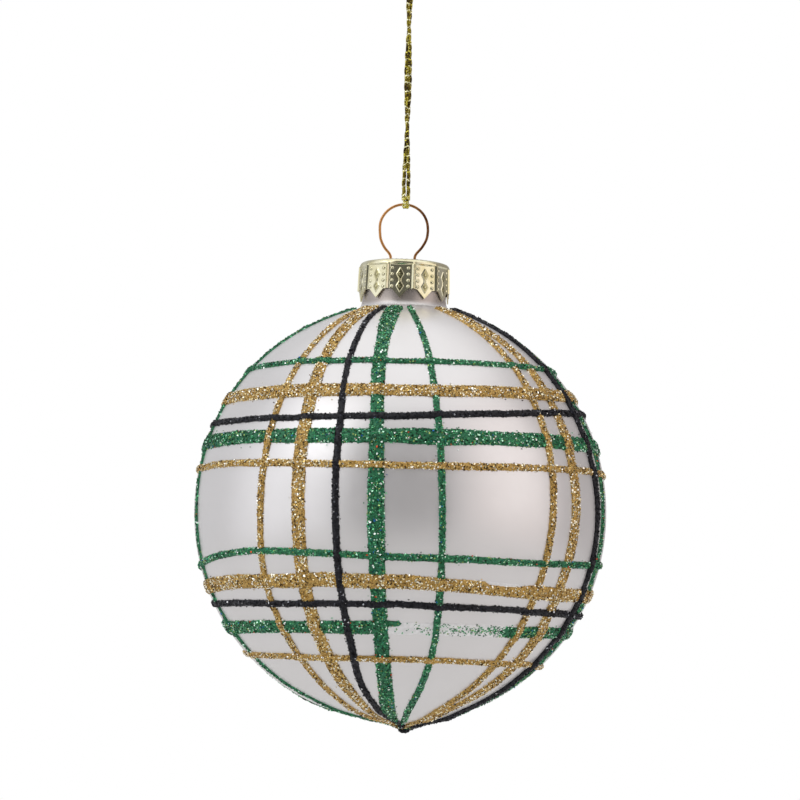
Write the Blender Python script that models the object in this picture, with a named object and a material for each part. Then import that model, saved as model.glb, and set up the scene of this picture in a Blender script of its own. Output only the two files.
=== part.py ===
"""Souvenir Christmas ornament: a blown glass ball with raised glitter lines, a crown cap on its neck,
a wire clip with a ring, and a folded metallic cord hitched to the ring.

Metres, +Z up. The origin is where a hook bears, at the top of the cord's eye. The front is -Y.
Heights named *_Z, and the cap's outline, are above the ball's centre.
Longitudes are degrees from the front, growing towards +X."""

import math

import bmesh
import bpy
from mathutils import Vector

# Ball
BALL_CENTRE = Vector((0.0, 0.0, -0.1175))
BALL_RADIUS = 0.0400
HALF_STRETCH = 0.0005  # each half of the ball stands this far from the centre plane
TIP_RISE = 0.0012  # the drawn-out point at the bottom
TIP_SPREAD = math.radians(4.5)
TIP_LEAN = 0.0015  # the point sits this far towards +X
TIP_LEAN_FROM_Z = -0.037
WALL = 0.0008
NECK_RADIUS = 0.0082
NECK_TOP_Z = 0.0473
NECK_FOOT_RADIUS = 0.0096  # where the ball's outline turns up into the neck
NECK_FILLET = ((0.0087, 0.0399), (0.0083, 0.0407), (NECK_RADIUS, 0.0417))
BALL_SIDES = 40

# Cap
CAP_SHEET = 0.00025
CAP_PANELS = 11
CAP_PANEL_STEPS = 6
CAP_FIRST_PANEL = math.radians(-5.5)
CAP_PLEAT = 0.00015  # how far the pleat between two panels stands out
CAP_POINT = 0.0017  # how far each panel's point hangs below its shoulders
CAP_POINT_HALF = 0.65  # each point's half width, as a share of the half panel
CAP_EDGE = (0.0090, 0.0428)  # radius and height of the skirt's shoulders
CAP_DOME = ((0.0, 0.0496), (0.0030, 0.0495), (0.0058, 0.0491))
CAP_SHOULDER = ((0.0071, 0.0489), (0.0080, 0.0486), (0.0085, 0.0481), (0.0087, 0.0474))
CAP_SIDE = ((0.0088, 0.0452), (0.0089, 0.0435))
CAP_HOLE_RADIUS = 0.0005

# Wire clip
WIRE_RADIUS = 0.00029
RING_RADIUS = 0.00472
RING_CENTRE_Z = 0.05578
HOLE_X = 0.00235

# Cord
CORD_RADIUS = 0.000375
TWIST_RADIUS = 0.0005  # from the cord's axis to each strand's middle
HALF_TURN = 0.0201  # height in which the strands change sides
FIRST_CROSSING = 0.0153  # the lowest crossing, above the wire
EYE_HEIGHT = 0.014
EYE_HALF_WIDTH = 0.0045
STRAND_START = 0.00185  # above the wire's centre
CORD_GAP = 0.0003

# Glitter lines: the bead's foot and crown above the glass, and how far a stripe hops over a ring
FOOT = 0.0002
CROWN = 0.00055
HOP = 0.00042
THIN = 0.0013
GOLD_BROAD = 0.0025
GREEN_BROAD = 0.0028
RING_SIDES = 36
# Each ring's heights in mm at eight longitudes, every 45 degrees from the front towards +X.
RINGS = (
    ("ring_upper_green_thin", "green", THIN, (27.0, 27.1, 27.4, 27.0, 26.6, 26.4, 26.5, 27.0)),
    ("ring_upper_gold_broad", "gold", GOLD_BROAD, (21.4, 21.8, 22.5, 22.3, 21.6, 21.2, 20.9, 21.2)),
    ("ring_upper_black", "black", THIN, (16.5, 18.2, 19.3, 18.6, 17.4, 16.6, 16.0, 16.3)),
    ("ring_upper_green_broad", "green", GREEN_BROAD, (12.9, 13.0, 13.0, 13.3, 13.0, 12.6, 12.3, 12.8)),
    ("ring_upper_gold_thin", "gold", THIN, (7.6, 7.9, 7.6, 7.9, 8.3, 8.0, 7.4, 8.0)),
    ("ring_lower_green_thin", "green", THIN, (-8.6, -9.4, -9.8, -9.3, -8.9, -9.7, -11.4, -8.1)),
    ("ring_lower_gold_broad", "gold", GOLD_BROAD, (-13.0, -14.8, -15.7, -14.6, -13.6, -14.3, -15.3, -13.5)),
    ("ring_lower_black", "black", THIN, (-17.0, -18.2, -19.6, -19.0, -17.9, -18.2, -18.4, -17.5)),
    ("ring_lower_green_broad", "green", GREEN_BROAD, (-20.9, -22, -23.0, -22.6, -21.6, -22.2, -23.0, -21.8)),
    ("ring_lower_gold_thin", "gold", THIN, (-27.0, -27.9, -29.4, -28.6, -27.4, -27.3, -27.7, -27.3)),
)
# The stripes of one quarter of the ball, from left to right.
STRIPE_KINDS = (
    ("green_thin", "green", THIN),
    ("gold_thin", "gold", THIN),
    ("gold_broad", "gold", GOLD_BROAD),
    ("black", "black", THIN),
    ("green_broad", "green", GREEN_BROAD),
)
# For each quarter, each stripe's longitude at the ball's middle, and its drift by the neck and by the tip.
STRIPE_QUARTERS = (
    ((-75, 10, 15), (-39.5, 0, 6), (-27, -3.5, 5), (-16.8, -3.5, 3.5), (-6, -2.3, 0.5)),
    ((11, -3.5, -2.5), (44, -5, -13), (53.7, -5, -11), (67.5, -6.5, -12), (76.5, -5, -9)),
    ((101, 3, -4), (135, 1, 2), (147, -2, 2), (159, 2, 0), (171, -1, 2)),
    ((191, 4, -3), (223, -3, 2), (235, -2, 3), (247, -1, 4), (259, 2, 5)),
)
STRIPE_TOP_Z = 0.0380
STRIPE_BOTTOM_Z = -0.0397
STRIPE_STEP_Z = 0.0065
TAPER_RADIUS = 0.016  # nearer the axis than this a stripe narrows
TIP_BEAD_RADIUS = 0.0011


def clear_scene():
    for obj in list(bpy.data.objects):
        bpy.data.objects.remove(obj, do_unlink=True)


def material(name, colour, roughness, metallic=0.0, coat=0.0):
    made = bpy.data.materials.new(name)
    made.use_nodes = True
    shader = made.node_tree.nodes["Principled BSDF"]
    shader.inputs["Base Color"].default_value = (*colour, 1.0)
    shader.inputs["Roughness"].default_value = roughness
    shader.inputs["Metallic"].default_value = metallic
    shader.inputs["Coat Weight"].default_value = coat
    return made


def frame(name, place):
    """An empty at a joint's axis or at a sub-assembly's centre, which its pieces hang from."""
    empty = bpy.data.objects.new(name, None)
    empty.empty_display_size = 0.005
    empty.location = place
    bpy.context.collection.objects.link(empty)
    return empty


def piece(name, mesh_or_curve, parent, surface, smooth=True):
    obj = bpy.data.objects.new(name, mesh_or_curve)
    obj.data.materials.append(surface)
    obj.parent = parent
    bpy.context.collection.objects.link(obj)
    if smooth and obj.type == "MESH":
        obj.data.shade_smooth()
        obj.data.set_sharp_from_angle(angle=math.radians(40))
    return obj


def mesh_from(name, bm):
    bmesh.ops.recalc_face_normals(bm, faces=bm.faces)
    mesh = bpy.data.meshes.new(name)
    bm.to_mesh(mesh)
    bm.free()
    return mesh


def turned(name, outline, sides, axis="Z"):
    """A closed outline of (radius, height) points spun round the axis. Points at radius 0 close it."""
    bm = bmesh.new()
    ring = [bm.verts.new((r, 0, h) if axis == "Z" else (h, r, 0)) for r, h in outline]
    edges = [bm.edges.new(pair) for pair in zip(ring, ring[1:])]
    if outline[0][0] > 0:
        edges.append(bm.edges.new((ring[-1], ring[0])))
    about = (0, 0, 1) if axis == "Z" else (1, 0, 0)
    bmesh.ops.spin(bm, geom=ring + edges, axis=about, cent=(0, 0, 0), steps=sides, angle=math.tau)
    bmesh.ops.remove_doubles(bm, verts=bm.verts, dist=1e-7)
    return mesh_from(name, bm)


def swept(name, sections, closed):
    """A skin over cross-sections that have the same number of points, capped at its ends unless closed."""
    bm = bmesh.new()
    rows = [[bm.verts.new(point) for point in section] for section in sections]
    count = len(rows[0])
    pairs = list(zip(rows, rows[1:])) + ([(rows[-1], rows[0])] if closed else [])
    for a, b in pairs:
        for k in range(count):
            n = (k + 1) % count
            bm.faces.new((a[k], a[n], b[n], b[k]))
    if not closed:
        bm.faces.new(rows[0])
        bm.faces.new(list(reversed(rows[-1])))
    return mesh_from(name, bm)


def smooth_path(points, steps):
    """A Catmull-Rom curve through the points, with the given number of steps between each two."""
    ends = [2 * points[0] - points[1], *points, 2 * points[-1] - points[-2]]
    path = []
    for a, b, c, d in zip(ends, ends[1:], ends[2:], ends[3:]):
        for k in range(steps):
            t = k / steps
            bend = 2 * a - 5 * b + 4 * c - d
            turn = 3 * b - a - 3 * c + d
            path.append((2 * b + (c - a) * t + bend * t * t + turn * t ** 3) / 2)
    return path + [points[-1]]


def tube(name, points, radius, resolution=2):
    curve = bpy.data.curves.new(name, "CURVE")
    curve.dimensions = "3D"
    curve.bevel_depth = radius
    curve.bevel_resolution = resolution
    curve.use_fill_caps = True
    spline = curve.splines.new("POLY")
    spline.points.add(len(points) - 1)
    for spot, point in zip(spline.points, points):
        spot.co = (*point, 1.0)
    return curve


# Ball and its glitter lines


def tip_lean(z):
    """How far the ball's middle leans towards +X at a height."""
    t = min(max((TIP_LEAN_FROM_Z - z) / (BALL_RADIUS + HALF_STRETCH + TIP_LEAN_FROM_Z), 0.0), 1.0)
    return TIP_LEAN * t * t * (3 - 2 * t)


def ball_outline_point(from_bottom, radius):
    """(radius, height) of the ball at an angle from its bottom, for the outer or the inner skin."""
    reach = radius + TIP_RISE * math.exp(-((from_bottom / TIP_SPREAD) ** 2))
    side = -HALF_STRETCH if from_bottom < math.pi / 2 else HALF_STRETCH
    return reach * math.sin(from_bottom), side - reach * math.cos(from_bottom)


def ball_radius(z):
    """The ball's outer radius at a height, leaving out its neck and its drawn-out point."""
    beyond = max(abs(z) - HALF_STRETCH, 0.0)
    return math.sqrt(max(BALL_RADIUS ** 2 - beyond ** 2, 0.0))


def on_ball(longitude, z, lift):
    """A point that stands lift above the glass, and the glass's outward direction there."""
    radius = ball_radius(z)
    turn = math.radians(longitude)
    beyond = math.copysign(max(abs(z) - HALF_STRETCH, 0.0), z)
    outward = Vector((radius * math.sin(turn), -radius * math.cos(turn), beyond)).normalized()
    foot = Vector((radius * math.sin(turn) + tip_lean(z), -radius * math.cos(turn), z))
    return foot + outward * lift, outward


def glass_ball(parent, surface):
    neck_angle = math.pi - math.asin(NECK_FOOT_RADIUS / BALL_RADIUS)
    angles = [math.radians(a) for a in (0, 2.5, 5, 8, 12, 18, 25, 33, 41, 50, 58, 66, 74, 82, 90)]
    angles += [math.radians(a) + 1e-6 for a in (90, 98, 106, 114, 122, 130, 139, 147, 155, 161)]
    outer = [ball_outline_point(a, BALL_RADIUS) for a in [*angles, neck_angle]]
    inner = [ball_outline_point(a, BALL_RADIUS - WALL) for a in [*angles, neck_angle]]
    bore = NECK_RADIUS - WALL
    inside = [(bore, 0.0406), (bore + 0.0004, 0.0396)]
    rim = [(NECK_RADIUS, NECK_TOP_Z), (bore, NECK_TOP_Z)]
    outline = outer + [*NECK_FILLET] + rim + inside + inner[::-1]
    mesh = turned("glass_ball", outline, BALL_SIDES)
    for vertex in mesh.vertices:
        vertex.co.x += tip_lean(vertex.co.z)
    return piece("glass_ball", mesh, parent, surface)


def ring_height(heights, longitude):
    """A ring's height at a longitude, on a smooth closed curve through its eight heights."""
    place = (longitude / 45.0) % 8
    k = int(place)
    t = place - k
    a, b, c, d = (heights[(k + n) % 8] * 0.001 for n in (-1, 0, 1, 2))
    bend = 2 * a - 5 * b + 4 * c - d
    turn = 3 * b - a - 3 * c + d
    return (2 * b + (c - a) * t + bend * t * t + turn * t ** 3) / 2


def ring(name, heights, width, parent, surface):
    sections = []
    for k in range(RING_SIDES):
        longitude = 360.0 * k / RING_SIDES
        z = ring_height(heights, longitude)
        crown, outward = on_ball(longitude, z, CROWN)
        turn = math.radians(longitude)
        along = Vector((math.cos(turn), math.sin(turn), 0))
        up = outward.cross(along).normalized() * (width / 2)
        foot, _ = on_ball(longitude, z, FOOT)
        sections.append((foot - up, crown, foot + up))
    return piece(name, swept(name, sections, True), parent, surface, smooth=False)


def stripe_longitude(line, z):
    middle, by_neck, by_tip = line
    share = (abs(z) / 0.036) ** 2.5
    return middle + (by_neck if z > 0 else by_tip) * min(share, 1.4)


def stripe_heights(line):
    """(height, lift) of a stripe's stations from neck to tip: high over each ring, low between them."""
    margin = 0.0003
    stations = []
    last = STRIPE_TOP_Z
    for _, _, width, heights in RINGS:
        middle = ring_height(heights, stripe_longitude(line, heights[0] * 0.001))
        slope = ball_radius(middle) / BALL_RADIUS
        half = (width / 2 + margin) * max(slope, 0.6)
        free = last - (middle + half)
        steps = max(int(free / STRIPE_STEP_Z) + 1, 1) if free > 0.0011 else 0
        stations += [(last - free * (n + 0.5) / steps, 0.0) for n in range(steps)]
        stations += [(middle + half, HOP), (middle - half, HOP)]
        last = middle - half
    free = last - STRIPE_BOTTOM_Z
    stations += [(last - free * share, 0.0) for share in (0.2, 0.45, 0.65, 0.82, 0.92, 1.0)]
    return [(STRIPE_TOP_Z, 0.0), *stations]


def stripe(name, line, width, parent, surface):
    stations = [(on_ball(stripe_longitude(line, z), z, 0), z, hop) for z, hop in stripe_heights(line)]
    sections = []
    for k, ((_, outward), z, hop) in enumerate(stations):
        before = stations[max(k - 1, 0)][0][0]
        after = stations[min(k + 1, len(stations) - 1)][0][0]
        half = width / 2 * min(ball_radius(z) / TAPER_RADIUS, 1.0)
        side = outward.cross(after - before).normalized() * half
        foot, _ = on_ball(stripe_longitude(line, z), z, FOOT + hop)
        crown, _ = on_ball(stripe_longitude(line, z), z, CROWN + hop)
        sections.append((foot - side, crown, foot + side))
    return piece(name, swept(name, sections, False), parent, surface, smooth=False)


def tip_bead(parent, surface):
    mesh = bpy.data.meshes.new("tip_bead")
    bm = bmesh.new()
    bmesh.ops.create_uvsphere(bm, u_segments=12, v_segments=8, radius=TIP_BEAD_RADIUS)
    bmesh.ops.scale(bm, vec=(1, 1, 0.35), verts=bm.verts)
    bm.to_mesh(mesh)
    bm.free()
    obj = piece("tip_bead", mesh, parent, surface)
    tip = HALF_STRETCH + BALL_RADIUS + TIP_RISE
    obj.location = (TIP_LEAN, 0, -tip - 0.35 * TIP_BEAD_RADIUS - 0.0001)
    return obj


# Cap and wire clip


def cap_profile(share, sheet):
    """(radius, height) of one skin of the cap from its dome to its edge, that far inside the outer skin.

    The share runs from 0 in a panel's middle to 1 at its pleat."""
    pleat = CAP_PLEAT if share == 1.0 else 0.0
    edge_radius, edge_z = CAP_EDGE
    point = CAP_POINT * max(1.0 - share / CAP_POINT_HALF, 0.0)
    dome = [(r, z - sheet) for r, z in CAP_DOME[1:]]
    drop = [1.0 - k / len(CAP_SHOULDER) for k in range(1, len(CAP_SHOULDER) + 1)]
    shoulder = [(r - sheet * (1.0 - d), z - sheet * d) for (r, z), d in zip(CAP_SHOULDER, drop)]
    side = [(r - sheet + pleat, z) for r, z in CAP_SIDE]
    return dome + shoulder + side + [(edge_radius - sheet + pleat, edge_z - point)]


def cap_skin(bm, sheet):
    """One skin of the cap: a fan at the dome's middle, then rows of faces down to the edge."""
    steps = CAP_PANELS * CAP_PANEL_STEPS
    rows = []
    for k in range(steps):
        turn = CAP_FIRST_PANEL + math.tau * k / steps
        place = (k % CAP_PANEL_STEPS) / CAP_PANEL_STEPS
        profile = cap_profile(2 * min(place, 1 - place), sheet)
        rows.append([bm.verts.new((r * math.sin(turn), -r * math.cos(turn), z)) for r, z in profile])
    middle = bm.verts.new((0, 0, CAP_DOME[0][1] - sheet))
    for a, b in zip(rows, rows[1:] + rows[:1]):
        bm.faces.new((middle, a[0], b[0]))
        for n in range(len(a) - 1):
            bm.faces.new((a[n], a[n + 1], b[n + 1], b[n]))
    return rows


def cap(parent, surface):
    bm = bmesh.new()
    outer = cap_skin(bm, 0.0)
    inner = cap_skin(bm, CAP_SHEET)
    for k in range(len(outer)):
        n = (k + 1) % len(outer)
        bm.faces.new((outer[k][-1], inner[k][-1], inner[n][-1], outer[n][-1]))
    obj = piece("cap", mesh_from("cap", bm), parent, surface)
    for number, x in enumerate((-HOLE_X, HOLE_X), 1):
        drill(obj, f"wire_hole_{number}", (x, 0, CAP_DOME[0][1]))
    return obj


def drill(obj, name, place):
    """A round hole for a leg of the wire clip."""
    mesh = bpy.data.meshes.new(name)
    bm = bmesh.new()
    radius = CAP_HOLE_RADIUS
    bmesh.ops.create_cone(bm, cap_ends=True, segments=12, radius1=radius, radius2=radius, depth=0.003)
    bm.to_mesh(mesh)
    bm.free()
    cutter = bpy.data.objects.new(name, mesh)
    cutter.parent = obj.parent
    cutter.location = place
    cutter.hide_render = True
    cutter.display_type = "WIRE"
    bpy.context.collection.objects.link(cutter)
    cut = obj.modifiers.new(name, "BOOLEAN")
    cut.operation = "DIFFERENCE"
    cut.object = cutter


def wire_route():
    """The clip's centreline about the ring's centre, from one leg's end over the ring to the other's."""
    side = [(0.00472, -0.0007), (0.00450, -0.0022), (0.00370, -0.0038), (0.00262, -0.0051)]
    leg = [(HOLE_X, -0.0060), (0.0025, -0.0071), (0.0036, -0.0093), (0.0054, -0.0133)]
    spring = [(0.0065, -0.0178), (0.0069, -0.0208), (0.0066, -0.0232), (0.0059, -0.0246)]
    right = [Vector((x, 0, z)) for x, z in side + leg + spring]
    right = smooth_path([Vector((RING_RADIUS, 0, 0)), *right], 3)
    left = [Vector((-p.x, 0, p.z)) for p in reversed(right)]
    steps = 30
    angles = [math.pi * (1 - k / steps) for k in range(1, steps)]
    arc = [Vector((RING_RADIUS * math.cos(a), 0, RING_RADIUS * math.sin(a))) for a in angles]
    return left + arc + right


# Cord


def strand_route(side):
    """One strand about the hook's point: from the hitch, twisted up to the eye, round it to the knot."""
    wire_z = BALL_CENTRE.z + RING_CENTRE_Z + RING_RADIUS
    bottom = wire_z + STRAND_START
    top = -EYE_HEIGHT
    count = 24
    points = []
    for k in range(count + 1):
        z = bottom + (top - bottom) * k / count
        turn = math.pi * (z - wire_z - FIRST_CROSSING) / HALF_TURN
        reach = side * TWIST_RADIUS
        points.append(Vector((reach * math.sin(turn), reach * math.cos(turn), z)))
    start = math.atan2(points[-1].x, -points[-1].y)
    eye = math.copysign(1, points[-1].x)
    widths = ((0.10, 0.35), (0.30, 0.86), (0.52, 1.0), (0.74, 0.80), (0.90, 0.42), (0.975, 0.13))
    depth = TWIST_RADIUS * math.cos(start)
    for height, width in widths:
        fade = 1 - height
        points.append(Vector((eye * EYE_HALF_WIDTH * width, -depth * fade, top * (1 - height))))
    return points


def cord(parent, surface):
    for name, side in (("cord_left", -1), ("cord_right", 1)):
        piece(name, tube(name, strand_route(side), CORD_RADIUS), parent, surface)


def lump(name, size, place, parent, surface):
    """A rounded lump of tied cord."""
    bm = bmesh.new()
    bmesh.ops.create_uvsphere(bm, u_segments=12, v_segments=8, radius=1.0)
    bmesh.ops.scale(bm, vec=size, verts=bm.verts)
    obj = piece(name, mesh_from(name, bm), parent, surface)
    obj.location = place
    return obj


def knot(parent, surface):
    low = CORD_GAP
    lump("cord_knot", (0.0011, 0.0010, 0.0012), (0, 0, low + 0.0012), parent, surface)
    top = low + 0.0024 + CORD_GAP
    for name, side in (("cord_tail_left", -1), ("cord_tail_right", 1)):
        bends = ((0.0005, 0.0), (0.0011, 0.0017), (0.0021, 0.0034), (0.0034, 0.0046))
        points = [Vector((side * x, 0.0002 * side, top + z)) for x, z in bends]
        piece(name, tube(name, smooth_path(points, 2), CORD_RADIUS), parent, surface)


def hitch(parent, surface):
    """The lark's head on the ring: the band over the legs, and the turns round the wire."""
    lump("hitch_band", (0.00085, 0.0006, 0.0003), (0, 0, 0.0012), parent, surface)
    outline = [(0.0004, -0.00075), (0.00062, -0.00075), (0.0008, -0.0005), (0.00072, -0.00012)]
    outline += [(radius, -x) for radius, x in reversed(outline)]
    piece("hitch_turns", turned("hitch_turns", outline, 12, axis="X"), parent, surface)


def build():
    clear_scene()
    pearl = material("pearl_glass", (0.80, 0.77, 0.76), 0.25, coat=0.6)
    brass = material("pale_gold_cap", (0.78, 0.72, 0.52), 0.22, metallic=1.0)
    copper = material("copper_wire", (0.62, 0.32, 0.15), 0.28, metallic=1.0)
    lurex = material("gold_cord", (0.45, 0.36, 0.08), 0.4, metallic=0.7)
    glitter = {
        "green": material("green_glitter", (0.03, 0.33, 0.16), 0.4, metallic=0.4),
        "gold": material("gold_glitter", (0.62, 0.42, 0.13), 0.4, metallic=0.6),
        "black": material("black_glitter", (0.012, 0.012, 0.02), 0.4, metallic=0.3),
    }
    ball = frame("ball_frame", BALL_CENTRE)
    ring_centre = frame("ring_frame", BALL_CENTRE + Vector((0, 0, RING_CENTRE_Z)))
    wire_top = frame("hitch_frame", ring_centre.location + Vector((0, 0, RING_RADIUS)))
    hook = frame("hook_frame", (0, 0, 0))
    cap_frame = frame("cap_frame", BALL_CENTRE)
    glass_ball(ball, pearl)
    for name, colour, width, heights in RINGS:
        ring(name, heights, width, ball, glitter[colour])
    for number, lines in enumerate(STRIPE_QUARTERS, 1):
        for (kind, colour, width), line in zip(STRIPE_KINDS, lines):
            stripe(f"stripe_{number}_{kind}", line, width, ball, glitter[colour])
    tip_bead(ball, glitter["black"])
    cap(cap_frame, brass)
    piece("wire_clip", tube("wire_clip", wire_route(), WIRE_RADIUS), ring_centre, copper)
    hitch(wire_top, lurex)
    cord(hook, lurex)
    knot(hook, lurex)


build()
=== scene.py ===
"""The looks of a souvenir Christmas ornament: satin pearl glass with raised glitter lines, an embossed crown
cap, a copper wire clip and a doubled metallic cord.

Metres, +Z up, the front is -Y. Heights on the ball are above its centre, and longitudes are degrees from the
front, growing towards +X. Every piece stands where the frame's nodes are."""

import math
from collections import namedtuple

import bpy
import numpy as np
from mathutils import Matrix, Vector


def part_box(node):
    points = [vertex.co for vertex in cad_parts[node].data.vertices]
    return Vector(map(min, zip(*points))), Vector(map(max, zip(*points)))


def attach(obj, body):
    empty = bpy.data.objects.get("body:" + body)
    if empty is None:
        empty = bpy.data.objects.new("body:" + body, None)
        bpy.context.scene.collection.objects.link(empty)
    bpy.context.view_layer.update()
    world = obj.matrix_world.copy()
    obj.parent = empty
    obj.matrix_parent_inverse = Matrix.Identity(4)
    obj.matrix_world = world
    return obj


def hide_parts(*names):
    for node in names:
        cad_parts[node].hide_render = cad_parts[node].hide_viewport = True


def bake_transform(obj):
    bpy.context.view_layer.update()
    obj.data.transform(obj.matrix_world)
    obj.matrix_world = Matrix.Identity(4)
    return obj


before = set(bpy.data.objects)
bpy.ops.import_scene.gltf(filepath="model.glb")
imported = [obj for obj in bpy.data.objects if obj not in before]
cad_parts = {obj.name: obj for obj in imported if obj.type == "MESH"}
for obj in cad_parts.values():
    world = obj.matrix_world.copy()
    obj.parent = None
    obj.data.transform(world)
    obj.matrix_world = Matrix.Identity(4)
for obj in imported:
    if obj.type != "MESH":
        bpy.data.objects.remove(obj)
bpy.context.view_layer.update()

MM = 0.001

# Ball, as in the CAD
BALL_RADIUS = 0.0400
HALF_STRETCH = 0.0005
TIP_RISE = 0.0012
TIP_SPREAD = math.radians(4.5)
TIP_LEAN = 0.0015
TIP_LEAN_FROM_Z = -0.037
WALL = 0.0008
NECK_RADIUS = 0.0082
NECK_TOP_Z = 0.0473
NECK_FOOT_RADIUS = 0.0096
NECK_FOOT_Z = 0.0397  # above it the glass is coloured darker and brownish: painted shade from the cap
NECK_FILLET = (
    (0.0093, 0.03942),
    (0.0090, 0.03956),
    (0.0087, 0.0398),
    (0.00845, 0.0402),
    (0.0083, 0.0407),
    (0.0082, 0.0415),
)
RIM_ROUNDING = 0.0001  # how far the neck's rim bulges upwards
BORE_FOOT_Z = 0.0407
BORE_FLARE = 0.0004  # how much the bore widens below it
BALL_SIDES = 224
BALL_ROWS = 168

# Clip and cord, as in the CAD
WIRE_RADIUS = 0.00029
RING_RADIUS = 0.00472
HOLE_X = 0.00235
RING_SHIFT = -0.00027  # the bent ring stands a little to one side
LEG_SHIFT = -0.00042  # and its legs a little more
WIRE_LOOK_RADIUS = 0.00026  # the wire drawn a little finer than the CAD's
CORD_RADIUS = 0.00043
TWIST_RADIUS = 0.0005
TIGHT_TWIST_RADIUS = 0.00036  # where the strands lie against each other, above the hitch
LOOSE_RUN = 0.0075  # above the hitch, where the strands part
HALF_TURN = 0.0201
FIRST_CROSSING = 0.0153
EYE_HEIGHT = 0.014
EYE_HALF_WIDTH = 0.0045
STRAND_START = 0.00185
INTO_KNOT = 0.0009  # how far a strand's end goes into the knot

# Places from the frame
BALL_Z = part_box("glass_ball")[1].z - NECK_TOP_Z
BALL_CENTRE = np.array((0.0, 0.0, BALL_Z))
WIRE_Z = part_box("wire_clip")[1].z - WIRE_RADIUS
RING_Z = WIRE_Z - RING_RADIUS

# Glitter lines
STATION = 0.00025  # between cross-sections along a line
BEAD_POINTS = 12
HOP = 0.00026  # how far a line rises over one beneath it
HOP_RAMP = 0.0007
THIN = 0.00127
GOLD_BROAD = 0.00262
GREEN_BROAD = 0.0027
CHIPS_PER_MM2 = 11.0
CHIP_SIZE = 0.000175  # from a flake's middle to its corners
# Each ring's kind, width, layer and heights in mm at eight longitudes from the front towards +X.
RINGS = {
    "ring_upper_green_thin": ("green", THIN, 2.5, (27.0, 27.1, 27.4, 27.0, 26.6, 26.4, 26.5, 27.0)),
    "ring_upper_gold_broad": ("gold", GOLD_BROAD, 2.0, (21.4, 21.8, 22.5, 22.3, 21.6, 21.2, 20.9, 21.2)),
    "ring_upper_black": ("black", THIN, 3.5, (16.5, 18.2, 19.3, 18.6, 17.4, 16.6, 16.0, 16.3)),
    "ring_upper_green_broad": ("green", GREEN_BROAD, 0.5, (12.9, 13.0, 13.0, 13.3, 13.0, 12.6, 12.3, 12.8)),
    "ring_upper_gold_thin": ("gold", THIN, 2.1, (7.6, 7.9, 7.6, 7.9, 8.3, 8.0, 7.4, 8.0)),
    "ring_lower_green_thin": ("green", THIN, 2.6, (-8.6, -9.4, -9.8, -9.3, -8.9, -9.7, -11.4, -8.1)),
    "ring_lower_gold_broad": ("gold", GOLD_BROAD, 2.2, (-13, -14.8, -15.7, -14.6, -13.6, -14.3, -15.3, -13.5)),
    "ring_lower_black": ("black", THIN, 3.6, (-17.0, -18.2, -19.6, -19.0, -17.9, -18.2, -18.4, -17.5)),
    "ring_lower_green_broad": ("green", GREEN_BROAD, 0.6, (-21.3, -22, -23, -22.6, -21.6, -22.2, -23, -21.8)),
    "ring_lower_gold_thin": ("gold", THIN, 2.3, (-27.0, -27.9, -29.4, -28.6, -27.4, -27.3, -27.7, -27.3)),
}
# The stripes of a quarter of the ball: kind of line, width, layer.
STRIPE_KINDS = {
    "green_thin": ("green", THIN, 1.5),
    "gold_thin": ("gold", THIN, 1.0),
    "gold_broad": ("gold", GOLD_BROAD, 1.1),
    "black": ("black", THIN, 4.0),
    "green_broad": ("green", GREEN_BROAD, 0.0),
}
# The longitudes of the stripes of the two front quarters at these heights in mm.
STRIPE_HEIGHTS = (38, 30, 15, 0, -15, -25, -32, -37)
FRONT_STRIPES = (
    (
        (-60, -72, -75, -75, -73.5, -69, -64, -53),
        (-39.5, -39.5, -39.2, -39.2, -39.5, -37.4, -35, -32),
        (-30.5, -29.7, -28, -27.1, -26.5, -25.3, -23.4, -20.3),
        (-20.6, -19.7, -17.4, -16.9, -15.9, -15.2, -15.4, -12.5),
        (-8.5, -8.1, -6.9, -6.2, -5.7, -5.1, -5.4, -5.3),
    ),
    (
        (6, 9, 10.2, 10.8, 11.4, 11.5, 10.3, 7.8),
        (36, 42.2, 44.3, 44, 41.7, 39, 35, 29),
        (41.5, 50.8, 53.4, 53.8, 51.2, 50, 45.8, 37),
        (58, 63.5, 65.6, 67.3, 66.2, 63.2, 60, 55),
        (61, 66.5, 72.3, 73.6, 72.8, 70, 66.5, 58),
    ),
)
# Each stripe of the two quarters behind: its longitude at the ball's middle, and its drift by the neck and by
# the tip.
BACK_STRIPES = (
    ((101, 3, -4), (135, 1, 2), (147, -2, 2), (159, 2, 0), (171, -1, 2)),
    ((191, 4, -3), (223, -3, 2), (235, -2, 3), (247, -1, 4), (259, 2, 5)),
)
# Lines that were squeezed out thicker or thinner than the rest: width and height factors.
THICKER = {
    "stripe_1_gold_thin": (1.15, 1.1),
    "stripe_2_gold_thin": (1.25, 1.25),
    "stripe_2_gold_broad": (1.05, 1.1),
    "stripe_2_black": (1.45, 1.5),
    "stripe_2_green_broad": (0.85, 0.85),
}
STRIPE_TOP_Z = 0.0391
STRIPE_LOW_POLAR = math.radians(1.0)
DRIFT_Z = 0.036
BY_TIP_Z = -0.0403  # where a stripe stops drifting
# Radius from the axis below which a stripe narrows towards the tip.
TIP_TAPER = {
    "black": 0.0012,
    "green_broad": 0.0165,
    "gold_broad": 0.0225,
    "gold_thin": 0.0140,
    "green_thin": 0.0080,
}
TIP_MISS = 0.6  # how much of the point's lean the stripes don't follow
BEAD_HEIGHT = 0.00038
FILM_HEIGHT = 0.00013  # of the bare glue
LINE_SWAY = 0.00006  # how far a line wanders to either side
EDGE_SWAY = 0.00004
CROWN_ROUGHNESS = 0.000022
SINK = 0.00006  # of a bead's edge into the glass
BARE_SINK = 0.0003  # where a line has a gap
SPILLED_SHARE = 0.010  # of the flakes, on the glass beside a line
FLAKE_RISE = 0.00007
BLOB_RISE = 0.00012  # of the tip bead's middle, above the CAD's
BLOB_TALLER = 0.00022  # than the CAD's, at its top and its bottom


# Numbers and meshes


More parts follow.
